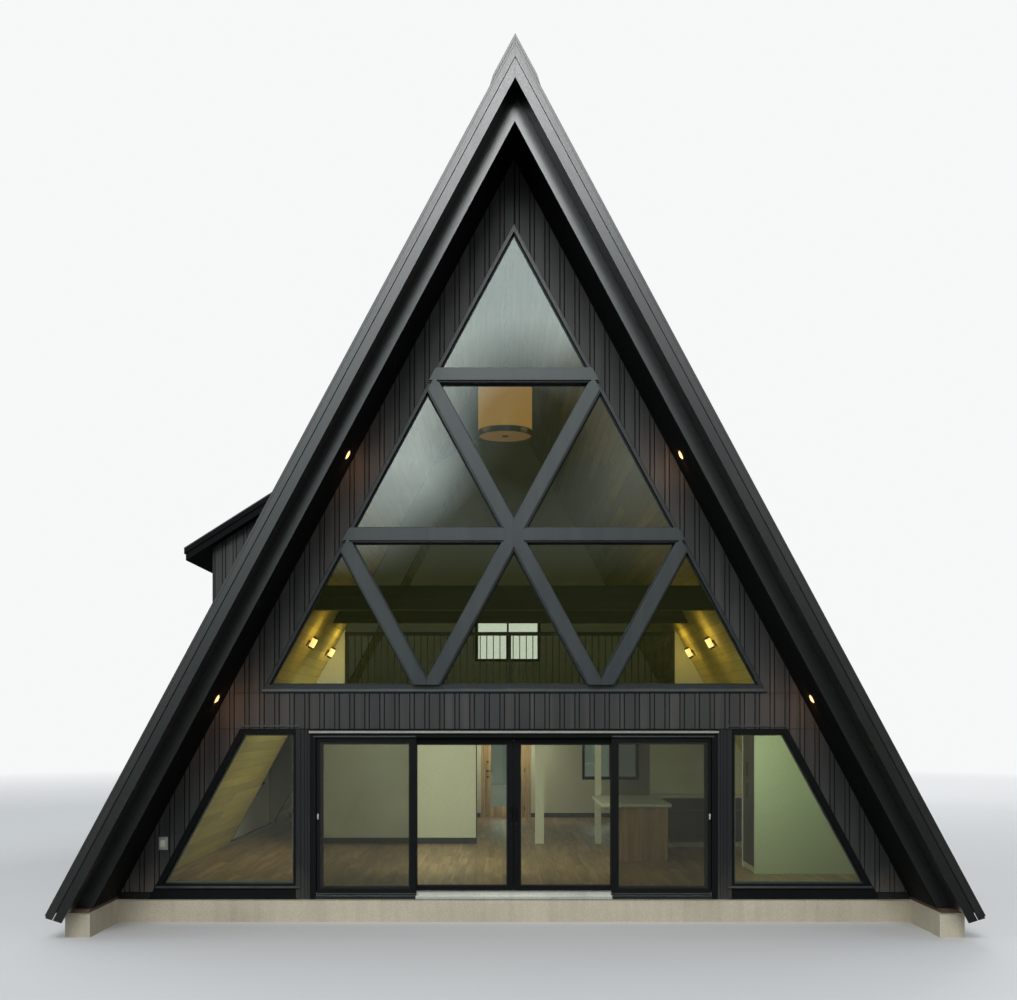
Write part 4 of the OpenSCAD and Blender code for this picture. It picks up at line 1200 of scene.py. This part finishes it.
class CABIN_OT_screens(Operator):
    """Makes the two insect screens with their frames, mesh, corner joints and pulls"""

    bl_idname = "cabin.screens"
    bl_label = "Insect screens"

    def execute(self, context):
        inner, low, outer, high = 1.262, 0.345, 2.55, 2.38
        x0, z0, x1, z1 = inner + 0.08, low + 0.085, outer - 0.03, high - 0.04
        y, pull = FRONT + 0.005, outer - 0.025
        finishes = ["screen metal", "insect mesh", "sill metal", "window bar metal"]
        for side, node in ((-1, "left_screen"), (1, "right_screen")):
            body = node + "_panel"
            shape = Shape(30)
            for a, b, foot, head in frame_bars(inner, x0, x1, outer, low, z0, z1, high):
                shape.side_block(side, (a, y, foot), (b, y + 0.02, head))
            outline = on_side(side, rectangle(x0, z0, x1, z1))
            shape.ring(outline, 0.007, facing_front(y + 0.006), 0.004, 0.0, 0.001)
            shape.finish = 1
            shape.plate(outline, facing_front(y + 0.0105), 0.0008)
            shape.finish = 2
            shape.side_block(side, (pull, y - 0.004, 1.33), (pull + 0.02, y + 0.001, 1.4), 0.0015)
            shape.side_block(side, (pull, y - 0.012, 1.352), (pull + 0.02, y - 0.003, 1.378))
            shape.finish = 3
            shape.side_block(side, (inner + 0.004, y - 0.005, low + 0.012),
                             (outer - 0.004, y - 0.0005, low + 0.03), 0.001)
            made = shape.piece(body, finishes, "screen_mesh", body)
            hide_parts(node)
        return {"FINISHED"}


class CABIN_OT_back_door(Operator):
    """Makes the glazed wooden back door with its lock bores, lever and hinges"""

    bl_idname = "cabin.back_door"
    bl_label = "Back door"

    def execute(self, context):
        x0, x1, z0, z1, y = -0.52, 0.384, 0.352, 2.394, 6.056
        stile, rail, lock, bores, hinges = 0.12, 0.22, 1.4, (1.26, 1.61), (0.502, 1.373, 2.154)
        inner, outer, low, high = x0 + stile, x1 - stile, z0 + rail, z1 - stile
        shape = Shape(31)
        for a, b, foot, head in frame_bars(x0, inner, outer, x1, z0, low, high, z1):
            shape.block((a, y, foot), (b, y + 0.045, head))
        pane = rectangle(inner, low, outer, high)
        shape.ring(pane, 0.02, facing_front(y + 0.014), 0.012, 0.0, 0.005)
        shape.ring(mirrored(pane), 0.02, facing_back(y + 0.03), 0.013, 0.0, 0.005)
        shape.finish = 1
        shape.plate(pane, facing_front(y + 0.03), 0.016)
        shape.finish = 2
        x = x0 + stile / 2
        rose = [(0.026, 0.0002), (0.026, 0.007), (0.023, 0.01)]
        for z in bores:
            shape.lathe(rose + [(0.015, 0.01), (0.013, 0.004)], front_at(x, y, z), 28)
        shape.block((x - 0.004, y - 0.026, z - 0.014), (x + 0.004, y - 0.002, z + 0.014), 0.0015)
        shape.lathe(rose + [(0.009, 0.01), (0.009, 0.04)], front_at(x, y, lock), 28)
        lever = ((x, y - 0.03), (x, y - 0.045), (x + 0.006, y - 0.046), (x + 0.12, y - 0.046))
        shape.bar([(*at, lock) for at in lever], 0.0085)
        barrel = [(0.006, -0.004), (0.008, 0.0), (0.008, 0.09), (0.006, 0.094)]
        for z in hinges:
            shape.lathe(barrel, place((x1 + 0.003, y - 0.02, z), (1, 0, 0), (0, 1, 0)), 24)
            shape.block((x1 - 0.005, y - 0.022, z), (x1, y - 0.0005, z + 0.09), 0.001)
        made = shape.piece("back_door_leaf", ["oiled door wood", "clear glass", "lamp metal"], "door_wood",
                           "back_door_leaf", smooth=True)
        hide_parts("back_door")

        left, right, head = BACK_DOOR
        stops = Shape(61)
        bars = frame_bars(left + 0.0005, left + 0.022, right - 0.018, right - 0.0005, 0.3405, 0.366,
                          head - 0.018, head - 0.0005)
        for x0, x1, z0, z1 in (*bars[:2], bars[3], bars[2]):
            stops.block((x0, y + 0.052, z0), (x1, y + 0.084, z1), 0.002)
        stops.piece("back_door_stops", ["oiled door wood"], "door_wood")
        return {"FINISHED"}


class CABIN_OT_outlet(Operator):
    """Makes the weatherproof outlet cover on the left of the front wall"""

    bl_idname = "cabin.outlet"
    bl_label = "Outlet cover"

    def execute(self, context):
        x0, x1, z0, z1, lid = -4.588, -4.473, 0.935, 1.105, FRONT - 0.0445
        screw = [(0.004, 0.0), (0.004, 0.002), (0.002, 0.003)]
        shape = Shape(32)
        shape.block((x0, FRONT - 0.028, z0), (x1, FRONT - 0.0005, z1), 0.004)
        shape.block((x0 + 0.008, lid, z0 + 0.008), (x1 - 0.008, FRONT - 0.0285, z1 - 0.014), 0.007)
        shape.bar([(x, FRONT - 0.032, z1 - 0.008) for x in (x0 + 0.012, x1 - 0.012)], 0.004)
        for x in (x0 + 0.018, x1 - 0.018):
            shape.lathe(screw, front_at(x, lid, z0 + 0.02), 12)
        shape.finish = 1
        shape.block((x0 + 0.028, FRONT - 0.0448, z0 + 0.045), (x1 - 0.028, FRONT - 0.044, z1 - 0.04), 0.0)
        made = shape.piece("outlet_cover", ["grey plastic", "pale plaster"], "grey_plastic", smooth=True)
        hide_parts("outlet_box")
        return {"FINISHED"}


class CABIN_OT_lamps(Operator):
    """Puts glowing lenses on the soffit lights and wall lamps, and the amber shade on the drum lamp"""

    bl_idname = "cabin.lamps"
    bl_label = "Lamp lenses"

    def execute(self, context):
        lenses, trims = Shape(41), Shape(42)
        dome = [(0.056, 0.0165), (0.054, 0.022), (0.042, 0.029), (0.022, 0.033), (0.004, 0.034)]
        bezel = [(0.0655, 0.0), (0.07, 0.004), (0.07, 0.017), (0.066, 0.02), (0.057, 0.02), (0.056, 0.0165)]
        tube = [(0.0424, -0.072), (0.0436, -0.07), (0.0436, 0.07), (0.0424, 0.072)]
        cap = [(0.0424, 0.0725), (0.046, 0.075), (0.046, 0.098), (0.042, 0.1025), (0.012, 0.1035)]
        plate = [(0.06, 0.0), (0.06, 0.006), (0.052, 0.012), (0.021, 0.013)]
        for side in (-1, 1):
            for z in SOFFIT_LIGHTS:
                where = slope_place(side, -0.001, SOFFIT_LIGHT_Y, z)
                lenses.lathe(dome, where, 40)
                trims.lathe(bezel, where, 40)
            slope = Vector((-side * math.cos(PITCH), 0, math.sin(PITCH)))
            across = Vector((0, 1, 0))
            for y, z in WALL_LAMPS:
                middle = (side * soffit_x(z, -LINING - 0.08), y, z)
                where = place(middle, across, slope.cross(across))
                lenses.lathe(tube, where, 36)
                for end in (-1, 1):
                    trims.lathe([(r, n * end) for r, n in cap], where, 36)
                trims.lathe(plate, slope_place(side, -LINING - 0.001, y, z), 36)
        lenses.piece("lamp_lenses", ["lamp lens"], "lamp", smooth=True)
        trims.piece("lamp_trims", ["lamp metal"], "lamp", smooth=True)

        drum = Shape(43)
        where = place((*DRUM_LAMP, 6.95), (1, 0, 0), (0, 1, 0))
        drum.lathe([(0.4105, 0.083), (0.4125, 0.085), (0.4125, 0.742), (0.4105, 0.745)], where, 72)
        drum.finish = 1
        drum.lathe([(0.395, 0.012), (0.396, 0.016), (0.05, 0.018), (0.048, 0.012)], where, 72)
        drum.finish = 2
        for n in (0.0802, 0.742):
            drum.lathe([(0.4105, n), (0.4165, n), (0.4165, n + 0.008), (0.4105, n + 0.008)], where, 72)
        drum.piece("drum_lamp_shade", ["amber shade", "amber diffuser", "lamp metal"], "lamp", smooth=True)
        return {"FINISHED"}


def inside_boards(shape, region, where, holes=()):
    """Thin wall panels on an inside face, butted side by side."""
    lay_boards(shape, region, where, 1.2, 0.0006, 0.01, 0.0, 0.0, holes)


class CABIN_OT_inside(Operator):
    """Lines the inner faces of the outside walls and adds baseboards, casings and the rail cap"""

    bl_idname = "cabin.inside"
    bl_label = "Inside finishes"

    def execute(self, context):
        shape = Shape(44)
        back, front = facing_front(BACK - WALL), facing_back(FRONT + WALL)
        left, right, head = BACK_DOOR
        openings = BACK_WINDOWS + [(left, 0, right, head)]
        inside_boards(shape, below(under_slopes(ROOM_FOOT, PANELS_END), ROOM_TOP), back, openings)
        inside_boards(shape, under_slopes(LOFT_FOOT, PANELS_END), back, openings)
        band, belt, lower = front_wall(PANELS_END, ROOM_FOOT, GLASS_SILL, 0.002, (0.002, 0.002), 0.0)
        for region in (*both(band), belt, *both(lower)):
            inside_boards(shape, region, front)
        top = dormer_top(DORMER_WALL - 0.18) - DORMER_DROP - 0.02
        for z0, z1 in ((ROOM_FOOT, ROOM_TOP), (LOFT_FOOT, top)):
            region = rectangle(DORMER_NEAR + 0.182, z0, DORMER_FAR - 0.182, z1)
            inside_boards(shape, region, facing_right(-DORMER_WALL + 0.18), DORMER_WINDOWS)
        deep, meet = DORMER_WALL - 0.195, dormer_meet(DORMER_DROP + 0.03, 0)
        whole = [(deep, dormer_top(deep) - DORMER_DROP - 0.02), (meet, dormer_top(meet) - DORMER_DROP - 0.03),
                 by_height(ROOM_FOOT, 0), (deep, ROOM_FOOT)]
        for side, where in ((1, facing_back(DORMER_NEAR + 0.18)), (-1, facing_front(DORMER_FAR - 0.18))):
            for part in (below(whole, ROOM_TOP), above(whole, LOFT_FOOT)):
                inside_boards(shape, on_side(side, part), where)
        shape.piece("inside_walls", ["pale plaster"], "pale_plaster")

        trims = Shape(45)
        y, wall, partition_end = LOFT_EDGE - 0.0005, BACK - WALL - 0.0105, -0.6
        trims.block((-3.7, y - 0.014, TRIM_FOOT), (partition_end - 0.017, y, 0.45))
        trims.block((partition_end - 0.0165, LOFT_EDGE - 0.006, TRIM_FOOT),
                    (partition_end, LOFT_EDGE + 0.126, ROOM_TOP + 0.001), 0.002)
        reach = soffit_x(0.46, PANELS_END - 0.01)
        for x0, x1 in ((-reach, left - 0.09), (right + 0.14, reach)):
            trims.block((x0, wall - 0.0135, TRIM_FOOT), (x1, wall, 0.44))
        trims.finish = 1
        casing_boards(trims, back, TRIM_FOOT, (left - 0.08, left - 0.004), (right + 0.004, right + 0.13),
                      head, head + 0.1, 0.014, 0.0102)
        trims.finish = 0
        rail, post = 4.1703, 2.9775
        trims.block((-3.0, 0.258, rail), (3.0, 0.327, rail + 0.0217), 0.006)
        for x in (-post, 0.0, post):
            trims.block((x - 0.05, 0.252, LOFT_FOOT - 0.0025), (x + 0.05, 0.333, LOFT_FOOT + 0.005), 0.002)
        trims.piece("inside_trim", ["railing metal", "oiled door wood"], "rail_metal")
        return {"FINISHED"}


class CABIN_OT_kitchen(Operator):
    """Clads the island and hangs doors, drawers and pulls on the kitchen units"""

    bl_idname = "cabin.kitchen"
    bl_label = "Kitchen fronts"

    def execute(self, context):
        top = FLOOR + 0.87 - 0.002
        near, far, left, right = -2.46, -0.46, 1.77, 2.5
        cladding = Shape(46)
        for where, u0, u1 in (
            (facing_front(near), left, right), (facing_back(far), -right, -left),
            (facing_left(left), -far, -near), (facing_right(right), near, far),
        ):
            region = rectangle(u0, FLOOR + 0.002, u1, top)
            lay_boards(cladding, region, where, 0.098, 0.002, 0.009, 0.0015, u0)
        cladding.piece("island_cladding", ["island oak"], "kitchen_wood")

        fronts, pulls = Shape(47), Shape(48)
        y, first_unit, unit, joint = 0.248 - 0.6, 2.603, 0.489, 0.003
        for i in range(4):
            u = first_unit + i * unit
            for z0, z1 in ((FLOOR + 0.104, FLOOR + 0.66), (FLOOR + 0.663, top)):
                fronts.plate(rectangle(u, z0, u + unit - joint, z1), facing_front(y), 0.018, 0.002, 0.0005)
            for z in (FLOOR + 0.62, FLOOR + 0.765):
                a, b, wall, grip = u + 0.16, u + 0.326, y - 0.018, y - 0.045
                pulls.bar([(a, wall, z), (a, grip, z), (b, grip, z), (b, wall, z)], 0.005, 10)
        x, first_door, door = 3.6, 3.104, 0.437
        for u, pull in ((first_door, 0.39), (first_door + door, 0.044)):
            for z0, z1 in ((FLOOR + 0.09, FLOOR + 1.35), (FLOOR + 1.353, FLOOR + 2.21)):
                fronts.plate(rectangle(u, z0, u + door - joint, z1), facing_left(x), 0.018, 0.002, 0.0005)
            y, wall, grip = -(u + pull), x - 0.018, x - 0.044
            for z in (FLOOR + 1.1, FLOOR + 1.42):
                end = z + 0.2
                pulls.bar([(wall, y, z), (grip, y, z), (grip, y, end), (wall, y, end)], 0.005, 10)
        fronts.piece("unit_fronts", ["dark cabinet wood"], "kitchen_wood")
        pulls.piece("unit_pulls", ["lamp metal"], "rail_metal", smooth=True)
        return {"FINISHED"}


class CABIN_OT_soffit(Operator):
    """Lays grooved boards under the overhangs at both ends"""

    bl_idname = "cabin.soffit"
    bl_label = "Soffit boards"

    def execute(self, context):
        shape = Shape(51)
        foot, top, board, gap = slope_v(0.345), slope_v(9.85), 0.134, 0.006
        for side in (-1, 1):
            for end in (-1, 1):
                u0, u1 = sorted(-side * end * y for y in OVERHANG_Y)
                where = on_slope(side, 0.0, outward=False)
                lay_boards(shape, rectangle(u0, foot, u1, top), where, board, gap, 0.008, 0.003, u0)
        shape.piece("soffit_boards", ["soffit boards"], "soffit_black")
        return {"FINISHED"}


class CABIN_OT_roof_metal(Operator):
    """Screws the roofing down and flashes the dormer's joints"""

    bl_idname = "cabin.roof_metal"
    bl_label = "Roof screws and flashings"

    def execute(self, context):
        self.screw_roof()
        self.dress_dormer()
        self.screw_ridge()
        self.close_edges()
        return {"FINISHED"}

    def screw_roof(self):
        """Screws beside every rib of the main roof."""
        screws = Shape(52)
        lowest, spacing, rows, clear, dormer_head = 0.36, 0.745, 14, 0.35, 8.75
        for side in (-1, 1):
            for i in range(RIBS):
                y = FIRST_RIB + (i + 0.16) * RIB_PITCH
                beside_dormer = side < 0 and DORMER_NEAR - clear < y < DORMER_FAR + clear
                for z in (lowest + row * spacing for row in range(rows)):
                    if not (beside_dormer and z < dormer_head):
                        screws.lathe(SCREW, moved(on_slope(side, PAN_TOP), side * y, slope_v(z, PAN_TOP)), 6)
        screws.piece("roof_screws", ["ribbed roof metal"], "roof_metal")

    def screw_ridge(self):
        """Screws along both edges of the ridge cap."""
        screws, lifted = Shape(55), ROOF_TOP + 0.006
        v = slope_v(soffit_z(0.235, lifted), lifted)
        for side in (-1, 1):
            for i in range(RIBS):
                screws.lathe(SCREW, moved(on_slope(side, lifted), side * (FIRST_RIB + i * RIB_PITCH), v), 6)
        screws.piece("ridge_screws", ["ribbed roof metal"], "roof_metal")

    def dress_dormer(self):
        """Screws and rake trims of the dormer's roof, and the flashings where it meets the main roof."""
        cover, flashing = Shape(53), Shape(54)
        up = Vector((math.cos(DORMER_PITCH), 0, math.sin(DORMER_PITCH)))
        roof = place((-DORMER_EAVE, 0, DORMER_EAVE_Z), (0, -1, 0), up)
        x = dormer_meet(0, ROOF_TOP + 0.003)
        run = (DORMER_EAVE - x) / up.x
        y0, y1 = DORMER_NEAR - DORMER_REACH, DORMER_FAR + DORMER_REACH
        ribs = int((y1 - y0) / RIB_PITCH)
        beside, eave, rows = 0.05, 0.12, 9
        for i in range(ribs):
            u = -(y0 + y1) / 2 + (i - (ribs - 1) / 2) * RIB_PITCH
            for row in range(rows):
                cover.lathe(SCREW, moved(roof, u + beside, eave + row * run / (rows + 0.3), 0.0002), 6)
        for a, b in ((-y1 - 0.004, -y1 + 0.06), (-y0 - 0.06, -y0 + 0.004)):
            cover.plate(rectangle(a, -0.006, b, run - 0.03), roof, 0.003, 0.001, 0.0006)
        cover.piece("dormer_roof_trims", ["ribbed roof metal"], "roof_metal")

        z = dormer_top(x)
        rise = Vector((math.cos(PITCH), 0, math.sin(PITCH))) * 0.22
        fall = up * 0.25
        bent = [
            (-x, z + 0.03), (-x + rise.x, z + 0.03 + rise.z), (-x + rise.x - 0.002, z + 0.034 + rise.z),
            (-x - 0.03, z + 0.03), (-x - fall.x, z + 0.032 - fall.z), (-x - fall.x, z + 0.029 - fall.z),
        ]
        flashing.loft([[(px, y, pz) for px, pz in bent] for y in (y0 - 0.004, y1 + 0.004)])
        out, near, far = DORMER_WALL + 0.02, ROOF_TOP + 0.004, ROOF_TOP + 0.052
        meets = [by_width(dormer_meet(DORMER_DROP + 0.004, t), t) for t in (near, far)]
        outline = [meets[1], meets[0], by_width(out, near), by_width(out, far)]
        if area(outline) < 0:
            outline.reverse()
        flashing.plate(outline, facing_back(DORMER_FAR), 0.02, 0.003, 0.0005)
        flashing.plate(mirrored(outline), facing_front(DORMER_NEAR), 0.02, 0.003, 0.0005)
        flashing.piece("dormer_flashings", ["ribbed roof metal"], "roof_metal")

    def close_edges(self):
        """Closures and lips along the roof's front and back edges."""
        edges = Shape(57)
        lip, top, cap_top, foot = ROOF_TOP - 0.052, PAN_TOP + 0.0035, ROOF_TOP + 0.0055, 0.31
        lips = [by_height(foot, lip), by_height(foot, top), by_width(0, top), by_width(0, lip)]
        closure = [by_width(0, top), by_width(0.3, top), by_width(0.262, cap_top), by_width(0, cap_top)]
        for where in (facing_front(RAKE_FRONT), facing_back(-RAKE_FRONT)):
            for outline in (*both(lips), *both(closure)):
                edges.plate(outline, where, 0.003, 0.001, 0.0005)
        for side in (-1, 1):
            for end in (-1, 1):
                u0, u1 = sorted(side * end * (-RAKE_FRONT + past) for past in (0.0035, -0.06))
                strip = rectangle(u0, slope_v(foot, PAN_TOP), u1, -0.03)
                edges.plate(strip, on_slope(side, PAN_TOP), 0.003, 0.001, 0.0005)
        edges.piece("roof_edge_trims", ["roof edge metal"], "roof_metal")


class CABIN_OT_foundation(Operator):
    """Adds form ties and pour lines to the foundation's faces"""

    bl_idname = "cabin.foundation"
    bl_label = "Foundation details"

    def execute(self, context):
        shape = Shape(56)
        plug = [(0.016, 0.0), (0.016, 0.0015), (0.011, 0.0022)]
        spacing, side, end_reach, side_reach = 0.61, 5.42, 4.9, 7.2
        tie_height, line_foot, line_top = 0.16, 0.098, 0.101
        for where, reach in ((facing_front(FRONT), end_reach), (facing_back(BACK), end_reach),
                             (facing_right(side), side_reach), (facing_left(-side), side_reach)):
            count = int(2 * reach / spacing)
            for i in range(count + 1):
                shape.lathe(plug, moved(where, (i - count / 2) * spacing, tie_height, 0.0002), 20)
            shape.plate(rectangle(-reach, line_foot, reach, line_top), where, 0.0015, 0.0005)
        shape.piece("foundation_form_ties", ["poured concrete"], "concrete")
        return {"FINISHED"}


def area_lamp(name, at, towards, size, strength, color=(1, 1, 1), mirrored_too=False):
    """A soft rectangular lamp that looks towards a point and stays out of sight."""
    made = bpy.data.lights.new(name, "AREA")
    made.shape, made.size, made.size_y = "RECTANGLE", size[0], size[1]
    made.energy, made.color = strength, color
    holder = bpy.data.objects.new(name, made)
    holder.location = at
    holder.rotation_euler = (Vector(towards) - Vector(at)).to_track_quat("-Z", "Y").to_euler()
    holder.visible_camera = holder.visible_transmission = False
    holder.visible_glossy = mirrored_too
    bpy.context.scene.collection.objects.link(holder)


def make_floor():
    """The pale floor, which fades into the backdrop and looks duller to rays that only light or mirror."""
    floor = bpy.data.meshes.new("studio_floor")
    rim = [(STUDIO_RADIUS * x, STUDIO_RADIUS * y, 0) for x, y in circle(64)]
    floor.from_pydata(rim, [], [list(range(len(rim)))])
    ground = bpy.data.objects.new("studio_floor", floor)
    bpy.context.scene.collection.objects.link(ground)
    f = Finish("pale studio floor", Roughness=0.9)
    path = f.node("LightPath").outputs
    seen = path["Is Camera Ray"]
    unseen = f.mix(path["Is Glossy Ray"], (0.3, 0.3, 0.28, 1), (0.09, 0.09, 0.08, 1))
    shown = f.mix(f.noise(f.at, 0.6), (0.7, 0.7, 0.7, 1), (0.73, 0.73, 0.72, 1))
    f.set("Base Color", f.mix(seen, unseen, shown))
    far = f.ramp(f.node("VectorMath", {0: f.at}, operation="LENGTH").outputs["Value"], 18.0, 42.0)
    pale = f.node("Emission", {"Color": BACKDROP, "Strength": 1.0})
    f.show(f.blend(f.times(far, seen), f.shader, pale))
    floor.materials.append(f.material)


def make_sky():
    """A plain backdrop to the eye, soft light on the cabin, and a graded studio sky in its panes."""
    world = bpy.data.worlds.new("soft studio sky")
    bpy.context.scene.world = world
    world.use_nodes = True
    sky = Graph(world.node_tree)
    ray = sky.node("LightPath").outputs
    straight = sky.math("LESS_THAN", ray["Glossy Depth"], 0.5)
    through = sky.times(ray["Is Transmission Ray"], straight)
    seen = sky.math("MAXIMUM", ray["Is Camera Ray"], through)
    towards = sky.split(sky.here("Generated"))
    lift = sky.times(sky.ramp(towards["Z"], 0.11, 0.2), sky.ramp(towards["Z"], 0.4, 0.5, 1.0, 0.45))
    aside = sky.math("SUBTRACT", towards["X"], towards["Z"])
    bright = sky.times(lift, sky.ramp(aside, -0.24, -0.195, 1.0, 0.2))
    level = sky.scaled(sky.here("Generated"), (1.0, 0.0, 1.0))
    spot = sky.node("VectorMath", {0: level, 1: (0.02, 0.0, 0.22)}, operation="DISTANCE").outputs["Value"]
    bright = sky.times(bright, sky.ramp(spot, 0.035, 0.085, 0.1, 1.0))
    mirrored_sky = sky.mix(bright, (0.05, 0.062, 0.02, 1), (2.05, 2.38, 2.42, 1))
    ambient = sky.node("Background", {"Color": (0.9, 0.95, 1.0, 1), "Strength": 0.62})
    reflected = sky.node("Background", {"Color": mirrored_sky, "Strength": 1.0})
    shown = sky.node("Background", {"Color": BACKDROP, "Strength": 1.0})
    mirrored_ray = sky.math("MAXIMUM", ray["Is Glossy Ray"], ray["Is Transmission Ray"])
    sky.show(sky.blend(seen, sky.blend(mirrored_ray, ambient, reflected), shown), "World Output")


def make_lamps():
    """The studio's softboxes, the light in the rooms and the glow round the cabin's own lamps."""
    for name, at, towards, size, strength in (
        ("front softbox", (-3, -34, 25), (0, -6, 4), (16, 9), 5200),
        ("left softbox", (-26, -12, 16), (0, -4, 4), (10, 10), 330),
        ("back softbox", (14, 26, 20), (0, 4, 4), (12, 10), 2600),
    ):
        area_lamp(name, at, towards, size, strength, mirrored_too=True)
    area_lamp("hall light", (-1.2, -2.9, 2.8), (-1.5, -1.2, 0.3), (2.4, 3.0), 79, (0.94, 0.97, 0.84))
    area_lamp("kitchen light", (2.4, -5.4, 2.75), (2.5, -2.4, 0.6), (1.8, 1.0), 23, (0.96, 0.98, 0.7))
    area_lamp("side window light", (3.5, -5.9, 2.3), (3.9, -4.0, 1.2), (1.0, 0.4), 6, (0.5, 1.0, 0.6))
    area_lamp("back hall light", (-0.07, 5.1, 2.5), (-0.07, 5.9, 0.7), (0.6, 0.4), 20, (1.0, 0.93, 0.76))
    area_lamp("drum lamp light", (*DRUM_LAMP, 7.02), (*DRUM_LAMP, 0), (0.7, 0.7), 16, (1.0, 0.6, 0.2))
    for side in (-1, 1):
        for y, _ in WALL_LAMPS:
            area_lamp("wall lamp light", (side * 2.75, y, 3.9), (side * 4.2, y, 3.7), (0.3, 0.3), 3.6,
                      (1.0, 0.7, 0.18))
        for z in SOFFIT_LIGHTS:
            x = side * (soffit_x(z) - 0.06)
            area_lamp("soffit light glow", (x, SOFFIT_LIGHT_Y, z - 0.03), (x * 0.95, FRONT, z - 0.25),
                      (0.1, 0.1), 2.5, (1.0, 0.5, 0.26))


def make_camera():
    """The camera of the photo: level, with the lens shifted upwards."""
    scene = bpy.context.scene
    lens = bpy.data.cameras.new("front camera")
    lens.lens, lens.sensor_width = scene.cabin_sizes.lens, SENSOR
    lens.shift_x, lens.shift_y = LENS_SHIFT
    camera = bpy.data.objects.new("front camera", lens)
    camera.location, camera.rotation_euler = EYE, (math.pi / 2, 0, 0)
    scene.collection.objects.link(camera)
    scene.camera = camera


class CABIN_OT_stage(Operator):
    """Sets the pale floor, the soft light and the camera"""

    bl_idname = "cabin.stage"
    bl_label = "Stage, light and camera"

    def execute(self, context):
        make_floor()
        make_sky()
        make_lamps()
        make_camera()
        context.scene.view_settings.view_transform = "Standard"
        return {"FINISHED"}


OPERATORS = (
    CABIN_OT_finishes, CABIN_OT_front_siding, CABIN_OT_dormer_siding, CABIN_OT_back_siding,
    CABIN_OT_base_trim, CABIN_OT_lattice, CABIN_OT_window_trim, CABIN_OT_patio_door, CABIN_OT_screens,
    CABIN_OT_back_door, CABIN_OT_outlet, CABIN_OT_lamps, CABIN_OT_inside, CABIN_OT_kitchen, CABIN_OT_soffit,
    CABIN_OT_roof_metal, CABIN_OT_foundation, CABIN_OT_stage
)


class CABIN_PT_panel(Panel):
    """Lists the cabin's pieces in the order they are made"""

    bl_label = "A-frame cabin"
    bl_idname = "CABIN_PT_panel"
    bl_space_type = "VIEW_3D"
    bl_region_type = "UI"
    bl_category = "Cabin"

    def draw(self, context):
        column = self.layout.column()
        for group in (context.scene.cabin_sizes, context.scene.cabin_colors):
            for name in group.bl_rna.properties.keys():
                if name not in ("rna_type", "name"):
                    column.prop(group, name)
        for kind in OPERATORS:
            column.operator(kind.bl_idname)


CLASSES = (CabinSizes, CabinColors) + OPERATORS + (CABIN_PT_panel,)


def register():
    for kind in CLASSES:
        bpy.utils.register_class(kind)
    bpy.types.Scene.cabin_sizes = PointerProperty(type=CabinSizes)
    bpy.types.Scene.cabin_colors = PointerProperty(type=CabinColors)


def unregister():
    del bpy.types.Scene.cabin_sizes, bpy.types.Scene.cabin_colors
    for kind in reversed(CLASSES):
        bpy.utils.unregister_class(kind)


def main():
    """Makes every piece in order."""
    register()
    for kind in OPERATORS:
        group, name = kind.bl_idname.split(".")
        getattr(getattr(bpy.ops, group), name)()


if __name__ == "__main__":
    main()
